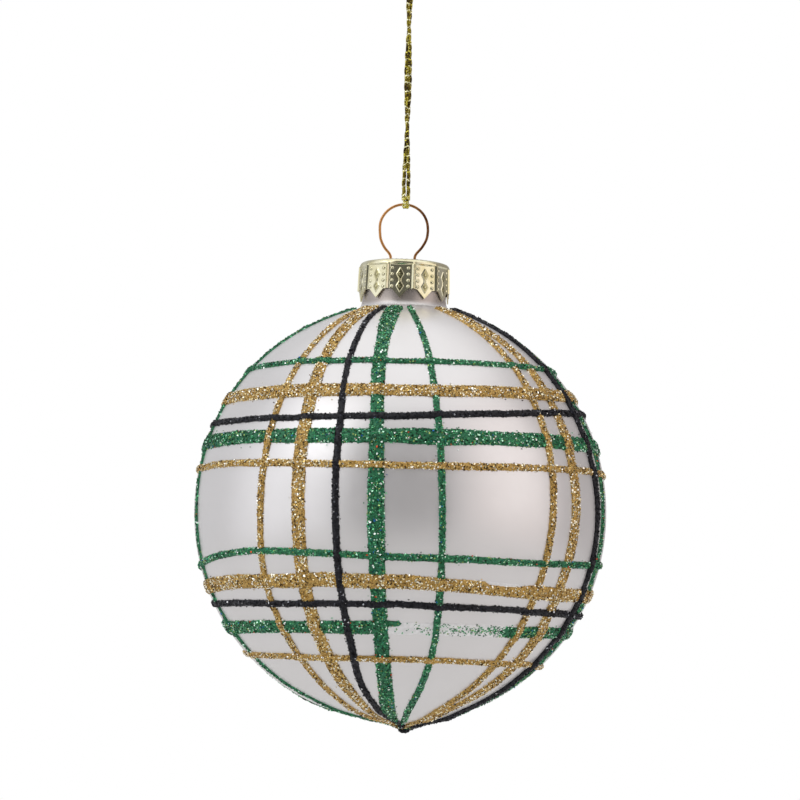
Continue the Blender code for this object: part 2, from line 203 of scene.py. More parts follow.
def smoothstep(t):
    t = np.clip(t, 0.0, 1.0)
    return t * t * (3 - 2 * t)


def unit(vectors):
    return vectors / np.maximum(np.linalg.norm(vectors, axis=-1, keepdims=True), 1e-12)


def wander(rng, count, wavelength, closed=False, step=STATION):
    """Smooth random values, about one high, along stations that lie a step apart."""
    knots = max(int(round(count * step / wavelength)), 4)
    values = rng.normal(size=knots)
    place = np.arange(count) * (knots / count if closed else (knots - 1) / (count - 1))
    low = np.floor(place).astype(int)
    t = smoothstep(place - low)
    return values[low % knots] * (1 - t) + values[(low + 1) % knots] * t


def between(a, b, c, d, t):
    """A Catmull-Rom curve's place between b and c, at a share t of the way."""
    bend = 2 * a - 5 * b + 4 * c - d
    turn = 3 * b - a - 3 * c + d
    return (2 * b + (c - a) * t + bend * t * t + turn * t ** 3) / 2


def smooth_path(points, steps):
    """A Catmull-Rom curve through the points, with the given number of steps between each two."""
    points = np.asarray(points, float)
    ends = np.vstack([2 * points[0] - points[1], points, 2 * points[-1] - points[-2]])
    path = []
    for corners in zip(ends, ends[1:], ends[2:], ends[3:]):
        path += [between(*corners, t) for t in np.arange(steps) / steps]
    return np.array([*path, points[-1]])


def even_path(points, step):
    """The same curve with stations an even step apart."""
    runs = np.concatenate([[0], np.cumsum(np.linalg.norm(np.diff(points, axis=0), axis=1))])
    count = max(int(round(runs[-1] / step)), 2)
    places = np.linspace(0, runs[-1], count + 1)
    return np.stack([np.interp(places, runs, points[:, k]) for k in range(3)], axis=1)


def mesh_object(name, points, quads=(), triangles=(), materials=(), tones=None, smooth=True):
    """An object from arrays of points, four-sided and three-sided faces, and each face's material number."""
    quads = np.asarray(quads, np.int32).reshape(-1, 4)
    triangles = np.asarray(triangles, np.int32).reshape(-1, 3)
    corners = np.concatenate([quads.ravel(), triangles.ravel()])
    sizes = np.concatenate([np.full(len(quads), 4), np.full(len(triangles), 3)])
    mesh = bpy.data.meshes.new(name)
    mesh.vertices.add(len(points))
    mesh.vertices.foreach_set("co", np.asarray(points, np.float32).ravel())
    mesh.loops.add(len(corners))
    mesh.loops.foreach_set("vertex_index", corners)
    mesh.polygons.add(len(sizes))
    mesh.polygons.foreach_set("loop_start", (np.cumsum(sizes) - sizes).astype(np.int32))
    for made in materials:
        mesh.materials.append(made)
    if tones is not None:
        mesh.polygons.foreach_set("material_index", np.asarray(tones, np.int32))
    mesh.update(calc_edges=True)
    if smooth:
        mesh.shade_smooth()
        mesh.set_sharp_from_angle(angle=math.radians(50))
    else:
        mesh.shade_flat()
    obj = bpy.data.objects.new(name, mesh)
    bpy.context.scene.collection.objects.link(obj)
    return obj


def skin_faces(rows, columns, closed_rows=False, closed_columns=True):
    """Four-sided faces over a grid of points stored row by row."""
    row = np.arange(rows if closed_rows else rows - 1)
    column = np.arange(columns if closed_columns else columns - 1)
    r, c = (grid.ravel() for grid in np.meshgrid(row, column, indexing="ij"))
    r2 = (r + 1) % rows
    c2 = (c + 1) % columns
    return np.stack([r * columns + c, r * columns + c2, r2 * columns + c2, r2 * columns + c], axis=1)


def end_fans(count, columns):
    """Three-sided faces that close a skin of count points: from its first row to the point that follows them,
    and from its last row to the one after that."""
    k = np.arange(columns)
    n = (k + 1) % columns
    first = np.stack([n, k, np.full(columns, count)], axis=1)
    last = np.stack([k + count - columns, n + count - columns, np.full(columns, count + 1)], axis=1)
    return np.vstack([first, last])


def tube_parts(path, radius, sides=10, closed=False, start=None):
    """Points and faces of a tube along a path, with short pointed ends. The radius is one number or one for
    each point."""
    path = np.asarray(path, float)
    along = np.gradient(path, axis=0) if not closed else np.roll(path, -1, 0) - np.roll(path, 1, 0)
    along = unit(along)
    across = unit(np.cross(along[0], start if start is not None else (0.31, 0.87, 0.22)))
    sideways = []
    for direction in along:
        across = unit(across - direction * (across @ direction))
        sideways.append(across)
    sideways = np.array(sideways)
    if closed:
        twist = math.atan2(np.cross(sideways[-1], sideways[0]) @ along[0], sideways[-1] @ sideways[0])
    else:
        twist = 0.0
    other = np.cross(along, sideways)
    radii = np.broadcast_to(radius, len(path)).astype(float)
    turn = np.arange(sides) * math.tau / sides
    phase = turn[None, :] + (twist * np.arange(len(path)) / len(path))[:, None]
    ring = np.cos(phase)[..., None] * sideways[:, None] + np.sin(phase)[..., None] * other[:, None]
    points = path[:, None] + ring * radii[:, None, None]
    faces = skin_faces(len(path), sides, closed_rows=closed)
    if closed:
        return points.reshape(-1, 3), faces, np.zeros((0, 3), int)
    tips = np.array([path[0] - along[0] * radii[0] * 0.5, path[-1] + along[-1] * radii[-1] * 0.5])
    return np.vstack([points.reshape(-1, 3), tips]), faces, end_fans(len(path) * sides, sides)


def joined(parts):
    """Several (points, quads, triangles, tones of quads, tones of triangles) as one set of arrays."""
    points, quads, triangles, quad_tones, triangle_tones = [], [], [], [], []
    offset = 0
    for p, q, t, qt, tt in parts:
        points.append(p)
        quads.append(np.asarray(q) + offset)
        triangles.append(np.asarray(t) + offset)
        quad_tones.append(np.broadcast_to(qt, len(q)))
        triangle_tones.append(np.broadcast_to(tt, len(t)))
        offset += len(p)
    tones = np.concatenate(quad_tones + triangle_tones)
    return np.vstack(points), np.vstack(quads), np.vstack(triangles), tones


# Materials


def node(tree, kind, inputs=(), **settings):
    """A shader node with its settings, and its inputs as values or as the sockets that feed them."""
    made = tree.nodes.new(kind)
    for key, value in settings.items():
        setattr(made, key, value)
    for key, value in dict(inputs).items():
        if isinstance(value, bpy.types.NodeSocket):
            tree.links.new(value, made.inputs[key])
        else:
            made.inputs[key].default_value = value
    return made


def maths(tree, operation, a, b=0.0, c=0.0):
    return node(tree, "ShaderNodeMath", {0: a, 1: b, 2: c}, operation=operation).outputs[0]


def principled(name, colour, roughness, metallic):
    """A material with a Principled shader, and its tree and shader for adding detail."""
    made = bpy.data.materials.new(name)
    made.use_nodes = True
    tree = made.node_tree
    shader = tree.nodes["Principled BSDF"]
    shader.inputs["Base Color"].default_value = (*colour, 1.0)
    shader.inputs["Roughness"].default_value = roughness
    shader.inputs["Metallic"].default_value = metallic
    return made, tree, shader


def object_noise(tree, scale, detail=2.0, roughness=0.5):
    place = node(tree, "ShaderNodeTexCoord").outputs["Object"]
    inputs = {"Vector": place, "Scale": scale, "Detail": detail, "Roughness": roughness}
    return node(tree, "ShaderNodeTexNoise", inputs).outputs[0]


def ranged(tree, value, low, high, out_low, out_high, smooth=False):
    inputs = {"Value": value, "From Min": low, "From Max": high, "To Min": out_low, "To Max": out_high}
    kind = "SMOOTHSTEP" if smooth else "LINEAR"
    return node(tree, "ShaderNodeMapRange", inputs, interpolation_type=kind).outputs[0]


def mix_colour(tree, share, a, b):
    made = node(tree, "ShaderNodeMix", data_type="RGBA")
    for socket, value in ((made.inputs[0], share), (made.inputs[6], a), (made.inputs[7], b)):
        if isinstance(value, bpy.types.NodeSocket):
            tree.links.new(value, socket)
        else:
            socket.default_value = value if isinstance(value, float) else (*value, 1.0)
    return made.outputs[2]


def add_bump(tree, shader, height, strength, distance):
    inputs = {"Height": height, "Strength": strength, "Distance": distance}
    tree.links.new(node(tree, "ShaderNodeBump", inputs).outputs[0], shader.inputs["Normal"])


def pearl_material():
    """Silvered glass under a satin pearl lacquer, coloured darker and brownish on the neck as painted shade
    from the
    cap: soft reflections, faint clouds and a very fine orange peel."""
    made, tree, shader = principled("pearl_glass", (0.82, 0.80, 0.80), 0.32, 0.55)
    clouds = object_noise(tree, 60.0, 3.0)
    cloudy = ranged(tree, clouds, 0.35, 0.65, 0.0, 1.0)
    colour = mix_colour(tree, cloudy, (0.80, 0.785, 0.785), (0.835, 0.82, 0.825))
    place = node(tree, "ShaderNodeTexCoord").outputs["Object"]
    height = node(tree, "ShaderNodeSeparateXYZ", {0: place}).outputs[2]
    # Painted shade: the neck above its foot is coloured darker and brownish for the shade from the cap.
    neck = ranged(tree, height, BALL_Z + NECK_FOOT_Z, BALL_Z + NECK_FOOT_Z + 0.0012, 0.0, 1.0, smooth=True)
    colour = mix_colour(tree, neck, colour, (0.47, 0.42, 0.39))
    tree.links.new(colour, shader.inputs["Base Color"])
    grain = object_noise(tree, 900.0, 2.0)
    tree.links.new(ranged(tree, grain, 0.3, 0.7, 0.29, 0.35), shader.inputs["Roughness"])
    add_bump(tree, shader, object_noise(tree, 420.0, 3.0), 0.05, 0.0002)
    return made


def glue_material(name, colour, metallic=0.3):
    """The bead under a line's flakes: dried glue full of fine glitter dust."""
    made, tree, shader = principled(name, colour, 0.42, metallic)
    dust = object_noise(tree, 5200.0, 4.0, 0.7)
    dark = tuple(c * 0.35 for c in colour)
    light = tuple(min(c * 1.7, 1.0) for c in colour)
    dusty = mix_colour(tree, ranged(tree, dust, 0.38, 0.62, 0.0, 1.0), dark, light)
    tree.links.new(dusty, shader.inputs["Base Color"])
    add_bump(tree, shader, dust, 0.6, 0.00012)
    return made


def white_glue_material():
    """Milky dried glue that caught hardly any glitter."""
    made, tree, shader = principled("white_glue", (0.90, 0.90, 0.91), 0.3, 0.0)
    streaks = object_noise(tree, 1400.0, 3.0)
    streaky = ranged(tree, streaks, 0.4, 0.6, 0.0, 1.0)
    colour = mix_colour(tree, streaky, (0.84, 0.84, 0.85), (0.95, 0.95, 0.96))
    tree.links.new(colour, shader.inputs["Base Color"])
    add_bump(tree, shader, streaks, 0.3, 0.0001)
    return made


def cap_material():
    """Thin stamped aluminium with a pale gold lacquer, lightly brushed and worn, and darkened with painted
    shade in the stamped relief.
    """
    made, tree, shader = principled("pale_gold_cap", (0.80, 0.75, 0.50), 0.16, 1.0)
    tarnish = object_noise(tree, 300.0, 4.0, 0.6)
    tarnished = ranged(tree, tarnish, 0.38, 0.66, 0.0, 1.0)
    colour = mix_colour(tree, tarnished, (0.84, 0.81, 0.60), (0.68, 0.63, 0.38))
    # Painted shade: an olive darkening read from the mesh, in the grooves, round the dots and over the
    # lozenges.
    relief_shade = node(tree, "ShaderNodeAttribute", attribute_name="relief_shade").outputs["Fac"]
    colour = mix_colour(tree, relief_shade, colour, (0.36, 0.33, 0.17))
    tree.links.new(colour, shader.inputs["Base Color"])
    scuffs = object_noise(tree, 2600.0, 3.0, 0.6)
    tree.links.new(ranged(tree, scuffs, 0.3, 0.7, 0.12, 0.24), shader.inputs["Roughness"])
    add_bump(tree, shader, object_noise(tree, 1100.0, 2.0), 0.12, 0.0001)
    return made


def wire_material():
    """Drawn copper wire, orange towards -X on the clip and darker brown towards +X, in noisy patches."""
    made, tree, shader = principled("copper_wire", (0.55, 0.26, 0.09), 0.3, 1.0)
    place = node(tree, "ShaderNodeTexCoord").outputs["Object"]
    x = node(tree, "ShaderNodeSeparateXYZ", {0: place}).outputs[0]
    patches = object_noise(tree, 420.0, 3.0)
    # Darker brown towards +X, with noisy patches; the roughness follows it.
    brown_share = maths(tree, "ADD", ranged(tree, x, -0.003, 0.004, 0.0, 0.75), maths(tree, "SUBTRACT", patches, 0.5))
    colour = mix_colour(tree, ranged(tree, brown_share, 0.1, 0.8, 0.0, 1.0), (0.66, 0.32, 0.11), (0.13, 0.05, 0.020))
    tree.links.new(colour, shader.inputs["Base Color"])
    tree.links.new(ranged(tree, brown_share, 0.0, 1.0, 0.24, 0.42), shader.inputs["Roughness"])
    add_bump(tree, shader, object_noise(tree, 3500.0, 2.0), 0.15, 0.00005)
    return made


# Each glitter's flake tones: colour, metallic, roughness and share. The near-white tones are painted glints,
# and the darkest gold tones are painted shade and dark reflections between the flakes; the other tones, the
# stray blue and red among them, are the glitter's own colours.
FLAKE_TONES = {
    "green": (
        ((0.004, 0.030, 0.016), 0.6, 0.35, 0.22),
        ((0.016, 0.130, 0.055), 0.7, 0.3, 0.18),
        ((0.050, 0.330, 0.140), 0.7, 0.26, 0.21),
        ((0.150, 0.530, 0.250), 0.7, 0.24, 0.16),
        ((0.025, 0.220, 0.170), 0.7, 0.26, 0.05),
        ((0.380, 0.540, 0.170), 0.7, 0.26, 0.055),
        ((0.520, 0.860, 0.640), 0.8, 0.2, 0.075),
        ((0.900, 0.980, 0.930), 0.8, 0.18, 0.035),
        ((0.030, 0.160, 0.480), 0.8, 0.25, 0.008),
        ((0.550, 0.080, 0.030), 0.8, 0.25, 0.006),
    ),
    "gold": (
        ((0.045, 0.020, 0.005), 0.6, 0.35, 0.17),
        ((0.240, 0.130, 0.026), 0.7, 0.3, 0.11),
        ((0.580, 0.370, 0.095), 0.8, 0.25, 0.17),
        ((0.800, 0.580, 0.200), 0.8, 0.24, 0.18),
        ((0.920, 0.780, 0.420), 0.8, 0.22, 0.16),
        ((0.980, 0.920, 0.690), 0.8, 0.2, 0.14),
        ((1.000, 0.990, 0.900), 0.8, 0.18, 0.15),
    ),
    "black": (
        ((0.003, 0.003, 0.006), 0.5, 0.45, 0.50),
        ((0.007, 0.008, 0.014), 0.5, 0.4, 0.29),
        ((0.024, 0.026, 0.042), 0.6, 0.35, 0.14),
        ((0.110, 0.115, 0.135), 0.7, 0.3, 0.055),
        ((0.480, 0.500, 0.540), 0.8, 0.25, 0.012),
        ((0.950, 0.960, 0.980), 0.8, 0.2, 0.004),
    ),
}
# The first of each glitter's bright tones, the painted glints; flakes of this tone and of the ones listed
# after it are a little larger and stand higher.
BRIGHT_TONES = {"green": 6, "gold": 5, "black": 4}


def flake_materials(kind):
    made = []
    for number, (colour, metallic, roughness, _) in enumerate(FLAKE_TONES[kind], 1):
        made.append(principled(f"{kind}_flake_{number}", colour, roughness, metallic)[0])
    return made


# Ball


def ball_profile(radius):
    """Angles from the bottom, and the glass's radius and height there, for a skin of that radius."""
    polar = np.linspace(0.0, math.pi, 4001)
    reach = radius + TIP_RISE * np.exp(-((polar / TIP_SPREAD) ** 2))
    stretch = HALF_STRETCH * np.tanh(np.cos(polar) / 0.25)
    return polar, reach * np.sin(polar), -reach * np.cos(polar) - stretch


PROFILE = ball_profile(BALL_RADIUS)


def tip_lean(z):
    return TIP_LEAN * smoothstep((TIP_LEAN_FROM_Z - z) / (BALL_RADIUS + HALF_STRETCH + TIP_LEAN_FROM_Z))


def polar_at(z):
    return np.interp(z, PROFILE[2], PROFILE[0])


def radius_at(polar):
    return np.interp(polar, PROFILE[0], PROFILE[1])


def height_at(polar):
    return np.interp(polar, PROFILE[0], PROFILE[2])


def on_glass(longitude, polar):
    """Points on the glass about the frame's origin, and the outward directions there."""
    turn = np.radians(longitude)
    radius = radius_at(polar)
    height = height_at(polar)
    small = 0.002
    rise = height_at(polar + small) - height_at(polar - small)
    widen = radius_at(polar + small) - radius_at(polar - small)
    points = np.stack([radius * np.sin(turn) + tip_lean(height), -radius * np.cos(turn), height], axis=-1)
    outward = unit(np.stack([rise * np.sin(turn), -rise * np.cos(turn), -widen], axis=-1))
    return points + BALL_CENTRE, outward


def glass_ball(material):
    """The blown ball and its open neck, with an outer and an inner skin that meet at the rim."""
    neck_polar = math.pi - math.asin(NECK_FOOT_RADIUS / BALL_RADIUS)
    shares = np.linspace(0.0, 1.0, BALL_ROWS)
    angles = neck_polar * (0.85 * shares + 0.15 * shares ** 2)
    outer = np.stack([radius_at(angles), height_at(angles)], axis=1)
    _, inner_radius, inner_height = ball_profile(BALL_RADIUS - WALL)
    coarse = np.linspace(0.0, neck_polar, 48)
    inner = np.stack([np.interp(coarse, PROFILE[0], row) for row in (inner_radius, inner_height)], axis=1)
    bore = NECK_RADIUS - WALL
    neck = [(NECK_RADIUS, z) for z in np.linspace(NECK_FILLET[-1][1], NECK_TOP_Z, 9)[1:]]
    rim = [(bore + WALL / 2, NECK_TOP_Z + RIM_ROUNDING), (bore, NECK_TOP_Z)]
    rim += [(bore, BORE_FOOT_Z), (bore + BORE_FLARE, NECK_FOOT_Z)]
    outline = np.vstack([outer[1:], NECK_FILLET, neck, rim, inner[:0:-1]])
    turn = np.arange(BALL_SIDES) * math.tau / BALL_SIDES
    radius = outline[:, 0][:, None]
    height = np.broadcast_to(outline[:, 1][:, None], (len(outline), BALL_SIDES))
    points = np.stack([radius * np.sin(turn) + tip_lean(height), -radius * np.cos(turn), height], axis=-1)
    ends = np.array([(TIP_LEAN, 0.0, outer[0, 1]), (TIP_LEAN, 0.0, inner[0, 1])])
    points = np.vstack([points.reshape(-1, 3), ends]) + BALL_CENTRE
    quads = skin_faces(len(outline), BALL_SIDES)
    tips = end_fans(len(outline) * BALL_SIDES, BALL_SIDES)
    made = mesh_object("pearl_ball", points, quads, tips, [material])
    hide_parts("glass_ball")
    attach(made, "ball")


# Glitter lines

Line = namedtuple("Line", "name kind half layer points outward side closed cover longitude")


def ring_height(heights, longitude):
    """A ring's height at each longitude, on a smooth closed curve through its eight heights."""
    values = np.array(heights) * MM
    place = (longitude / 45.0) % 8
    k = np.floor(place).astype(int)
    t = place - k
    return between(*(values[(k + n) % 8] for n in (-1, 0, 1, 2)), t)


def line_of(name, kind, half, layer, longitude, polar, closed, cover):
    points, outward = on_glass(longitude, polar)
    if closed:
        along = np.roll(points, -1, 0) - np.roll(points, 1, 0)
    else:
        along = np.gradient(points, axis=0)
    side = unit(np.cross(outward, along))
    return Line(name, kind, half, layer, points, outward, side, closed, cover, longitude)


def ring_line(name, rng):
    kind, width, layer, heights = RINGS[name]
    radius = math.sqrt(BALL_RADIUS ** 2 - (np.mean(heights) * MM) ** 2)
    count = int(math.tau * radius / STATION)
    longitude = np.arange(count) * 360.0 / count
    z = ring_height(heights, longitude) + wander(rng, count, 0.007, True) * LINE_SWAY
    half = width / 2 * (1 + 0.045 * wander(rng, count, 0.009, True))
    cover = np.ones(count)
    front = (longitude + 180.0) % 360.0 - 180.0
    if name == "ring_upper_green_broad":
        half = half * (1 + 0.16 * smoothstep((front + 4) / 8) * smoothstep((24 - front) / 10))
    if name == "ring_lower_green_broad":
        thinned = smoothstep((front + 8) / 4) * (front < 25)
        half = half * (1 - 0.6 * thinned) * (1 - 0.16 * smoothstep((front - 28) / 6) * (front < 90))
        z = z + 0.0007 * thinned
        cover = np.where(front < 20, smoothstep((1.2 - front) / 1.2), smoothstep((front - 32) / 4))
    if name == "ring_lower_gold_broad":
        thinned = smoothstep((front - 23) / 2) * smoothstep((40 - front) / 8)
        cover = 1 - 0.25 * thinned
        z = z - 0.0002 * thinned
    return line_of(name, kind, half, layer, longitude, polar_at(z), True, cover)


def stripe_longitude(stripe, z):
    """A stripe's longitude at each height, through its longitudes at given heights or by its two drifts."""
    if len(stripe) == len(STRIPE_HEIGHTS):
        knots = [(height * MM, longitude, 0.0) for height, longitude in zip(STRIPE_HEIGHTS, stripe)]
        knots.append((BY_TIP_Z, 1.5 * stripe[-1] - 0.5 * stripe[-2], 0.0))
        curve = smooth_path(knots, 10)[::-1]
        return np.interp(z, curve[:, 0], curve[:, 1])
    middle, by_neck, by_tip = stripe
    share = np.minimum((np.abs(z) / DRIFT_Z) ** 2.5, 1.4)
    return middle + np.where(z > 0, by_neck, by_tip) * share


def stripe_line(name, kind_name, stripe, rng):
    kind, width, layer = STRIPE_KINDS[kind_name]
    top = float(polar_at(STRIPE_TOP_Z))
    count = int((top - STRIPE_LOW_POLAR) * BALL_RADIUS / STATION)
    polar = np.linspace(top, STRIPE_LOW_POLAR, count)
    z = height_at(polar)
    radius = radius_at(polar)
    sway = wander(rng, count, 0.008) * LINE_SWAY / np.maximum(radius, 0.004)
    longitude = stripe_longitude(stripe, z) + np.degrees(sway)
    if kind != "black":
        turn = np.radians(longitude)
        x = radius * np.sin(turn) - TIP_MISS * tip_lean(z)
        longitude = np.degrees(np.unwrap(np.arctan2(x, radius * np.cos(turn))))
    taper = np.where(z < 0, np.minimum(radius / TIP_TAPER[kind_name], 1.0), 1.0) ** 1.3
    swell = 1 - 0.10 * smoothstep((z - 0.012) / 0.02)
    if name == "stripe_1_green_broad":
        swell = np.interp(z, np.array((-15, 0, 12, 20, 31, 36)) * MM, (1.0, 1.12, 1.1, 0.93, 0.95, 1.2))
    half = width / 2 * (1 + 0.045 * wander(rng, count, 0.009)) * np.maximum(taper, 0.1) * swell
    half = half * THICKER.get(name, (1.0, 1.0))[0]
    return line_of(name, kind, half, layer, longitude, polar, False, np.ones(count))


def hop_over(line, others):
    """How far each station stands off the glass to pass over the lines beneath it."""
    lift = np.zeros(len(line.points))
    for other in others:
        if other.layer >= line.layer or other.closed == line.closed:
            continue
        gap = np.full(len(line.points), np.inf)
        for start in range(0, len(other.points), 64):
            block = other.points[start : start + 64]
            away = np.linalg.norm(line.points[:, None] - block[None], axis=2) - other.half[start : start + 64]
            gap = np.minimum(gap, away.min(axis=1))
        lift = np.maximum(lift, HOP * smoothstep(1 - gap / HOP_RAMP))
    return lift


def end_rounding(line):
    """From 0 at a stripe's ends to 1 half a width inside them."""
    if line.closed:
        return np.ones(len(line.points))
    runs = np.arange(len(line.points)) * STATION
    near = np.minimum(runs, runs[::-1]) / np.maximum(line.half, 0.0003)
    return np.sqrt(np.clip(1 - (1 - np.minimum(near, 1.0)) ** 2, 0.02, 1.0))


def section_shape(half, broad_from=0.0009):
    """How square a line's section is: round on thin lines, flatter on broad ones."""
    return np.where(half > broad_from, 3.2, 2.2)


def bead(line, lift, material, rng, height=BEAD_HEIGHT, suffix="bead"):
    """The closed body of glue under a line's flakes, with wandering edges and a lumpy crown."""
    count = len(line.points)
    rounding = end_rounding(line)
    shown = np.clip(line.cover, 0.0, 1.0)
    height = height * THICKER.get(line.name, (1.0, 1.0))[1]
    crown = height * rounding * (1 + 0.10 * wander(rng, count, 0.0016, line.closed)) * np.sqrt(shown)
    half = line.half * rounding * (0.12 + 0.88 * shown)
    sink = np.where(shown < 0.03, BARE_SINK, SINK)
    u = -np.cos(np.linspace(0, math.pi, BEAD_POINTS))
    rough = rng.normal(size=(count, BEAD_POINTS)) * CROWN_ROUGHNESS
    edge = np.stack([wander(rng, count, 0.0006, line.closed) * EDGE_SWAY for _ in range(2)], axis=1)
    edges = edge[:, :1] * (u < 0) + edge[:, 1:] * (u > 0)
    across = half[:, None] * u + edges * np.abs(u) * rounding[:, None] * shown[:, None]
    power = section_shape(line.half)[:, None]
    up = crown[:, None] * np.sqrt(np.clip(1 - np.abs(u) ** power, 0, 1)) + rough
    up = up + lift[:, None] - (sink[:, None] + lift[:, None]) * (np.abs(u) > 0.999) - sink[:, None] * 0.5
    points = line.points[:, None] + line.side[:, None] * across[..., None]
    points = points + line.outward[:, None] * up[..., None]
    quads = skin_faces(count, BEAD_POINTS, closed_rows=line.closed)
    flat = points.reshape(-1, 3)
    triangles = np.zeros((0, 3), int)
    if not line.closed:
        flat = np.vstack([flat, points[0].mean(0), points[-1].mean(0)])
        triangles = end_fans(count * BEAD_POINTS, BEAD_POINTS)
    made = mesh_object(f"{line.name}_{suffix}", flat, quads, triangles, [material])
    made.data.flip_normals()
    return made, crown, half


def chips(name, centres, normals, sizes, tones, materials, rng):
    """Flakes of glitter: each a four-cornered plate whose point beneath it is sunk in the glue."""
    count = len(centres)
    helper = np.where(np.abs(normals[:, :1]) < 0.9, np.array([[1.0, 0, 0]]), np.array([[0, 1.0, 0]]))
    x = unit(np.cross(normals, helper))
    y = np.cross(normals, x)
    angle = rng.uniform(0, math.tau, (count, 1)) + np.arange(4) * math.tau / 4
    angle = angle + rng.normal(0, 0.22, (count, 4))
    reach = sizes[:, None] * rng.uniform(0.78, 1.2, (count, 4))
    plate = centres[:, None] + x[:, None] * (np.cos(angle) * reach)[..., None]
    plate = plate + y[:, None] * (np.sin(angle) * reach)[..., None]
    root = centres - normals * sizes[:, None] * 1.1
    points = np.concatenate([plate, root[:, None]], axis=1).reshape(-1, 3)
    first = np.arange(count)[:, None] * 5
    quads = first + np.arange(4)
    sides = [first + np.array([(k + 1) % 4, k, 4]) for k in range(4)]
    face_tones = np.concatenate([tones, *([tones] * 4)])
    return mesh_object(name, points, quads, np.vstack(sides), materials, face_tones, smooth=False)


def flakes(line, lift, crown, half, materials, rng):
    """The glitter on one line: dense on the glue, a few flakes spilled on the glass beside it."""
    weight = half * np.clip(line.cover, 0.0, 1.0) ** 1.2
    area = weight.sum() * 2 * STATION * 1e6
    count = int(area * CHIPS_PER_MM2)
    steps = np.cumsum(weight)
    places = np.searchsorted(steps, rng.uniform(0, steps[-1], count))
    places = np.minimum(places, len(weight) - 1)
    u = np.sin(rng.uniform(-math.pi / 2, math.pi / 2, count) * 0.93)
    u = np.where(rng.random(count) < 0.5, rng.uniform(-1.0, 1.0, count), u)
    ragged = 0.26 if line.kind == "black" else 0.17
    u = u * (1 + rng.uniform(-0.04, ragged, count) * np.minimum(0.0007 / half[places], 1.5))
    spilled = rng.random(count) < SPILLED_SHARE
    u = np.where(spilled, np.sign(u) * (1.05 + rng.exponential(0.22, count)), u)
    power = section_shape(line.half)[places]
    inside = np.clip(1 - np.abs(u) ** power, 0, 1)
    up = crown[places] * np.sqrt(inside) + lift[places] * np.where(np.abs(u) < 1, 1, 0)
    up = up + np.where(spilled, 0.00002, rng.uniform(0.0, FLAKE_RISE, count))
    slide = rng.uniform(-0.5, 0.5, count) * STATION
    along = np.cross(line.side, line.outward)
    centres = line.points[places] + line.side[places] * (half[places] * u)[:, None]
    centres = centres + line.outward[places] * up[:, None] + along[places] * slide[:, None]
    lean = np.sign(u) * np.abs(u) ** 2 * 0.9
    normals = line.outward[places] + line.side[places] * lean[:, None]
    normals = unit(normals + rng.normal(0, 0.45, (count, 3)))
    sizes = CHIP_SIZE * rng.uniform(0.7, 1.25, count)
    shares = np.array([tone[3] for tone in FLAKE_TONES[line.kind]])
    patch = wander(rng, len(line.points), 0.004, line.closed)[places] * 0.5
    order = rng.random(count) ** np.exp(-0.5 * patch)
    tones = np.searchsorted(np.cumsum(shares / shares.sum()), order)
    tones = np.minimum(tones, len(shares) - 1)
    # Painted glints: the flakes in the bright tones are made larger and raised.
    bright = tones >= BRIGHT_TONES[line.kind]
    sizes = np.where(bright, sizes * 1.1, sizes)
    centres = centres + line.outward[places] * (bright * 0.00005)[:, None]
    return chips(f"{line.name}_flakes", centres, normals, sizes, tones, materials, rng)


def glitter_lines():
    """Every line as a glue bead with flakes, the higher layers hopping over the lower ones. Returns each
    glitter's flake materials."""
    glue = {
        "green": glue_material("green_glue", (0.018, 0.16, 0.070)),
        "gold": glue_material("gold_glue", (0.50, 0.31, 0.080)),
        "black": glue_material("black_glue", (0.008, 0.008, 0.013)),
    }
    tones = {kind: flake_materials(kind) for kind in FLAKE_TONES}
    lines = [ring_line(name, np.random.default_rng(100 + n)) for n, name in enumerate(RINGS)]
    for quarter, stripes in enumerate(FRONT_STRIPES + BACK_STRIPES, 1):
        for k, (kind_name, stripe) in enumerate(zip(STRIPE_KINDS, stripes)):
            name = f"stripe_{quarter}_{kind_name}"
            lines.append(stripe_line(name, kind_name, stripe, np.random.default_rng(10 * quarter + k)))
    for number, line in enumerate(lines):
        rng = np.random.default_rng(1000 + number)
        lift = hop_over(line, lines)
        body, crown, half = bead(line, lift, glue[line.kind], rng)
        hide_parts(line.name)
        top = flakes(line, lift, crown, half, tones[line.kind], rng)
        for made in (body, top):
            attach(made, "ball")
    return tones


def glue_patch(name, ring_name, start, stop, material):
    """A stretch of a ring, between two longitudes, where the milky glue shows."""
    rng = np.random.default_rng(7)
    _, width, layer, heights = RINGS[ring_name]
    radius = math.sqrt(BALL_RADIUS ** 2 - (np.mean(heights) * MM) ** 2)
    count = int(math.radians(stop - start) * radius / STATION)
    longitude = np.linspace(start, stop, count)
    z = ring_height(heights, longitude)
    half = width / 2 * (1 + 0.03 * wander(rng, count, 0.004))
    line = line_of(name, "green", half, layer, longitude, polar_at(z), False, np.ones(count))
    made, _, _ = bead(line, np.zeros(count), material, rng, height=FILM_HEIGHT, suffix="film")
    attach(made, "ball")
    return line


def sparse_flecks(line, name, density, tones, rng):
    """Thinly scattered flakes on a glue patch, thicker towards its end."""
    count = int(line.half.sum() * 2 * STATION * 1e6 * density)
    place = (rng.random(count) ** 0.45 * (len(line.points) - 1)).astype(int)
    u = rng.normal(0, 0.5, count)
    keep = np.abs(u) < 1.0
    place, u = place[keep], u[keep]
    up = FILM_HEIGHT * np.sqrt(1 - np.abs(u) ** 3.2) + 0.00001
    centres = line.points[place] + line.side[place] * (line.half[place] * u)[:, None]
    centres = centres + line.outward[place] * up[:, None]
    normals = unit(line.outward[place] + rng.normal(0, 0.25, (len(place), 3)))
    sizes = CHIP_SIZE * rng.uniform(0.6, 1.1, len(place))
    choice = rng.choice([1, 2, 3, 5], len(place), p=[0.35, 0.35, 0.2, 0.1])
    made = chips(name, centres, normals, sizes, choice, tones, rng)
    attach(made, "ball")


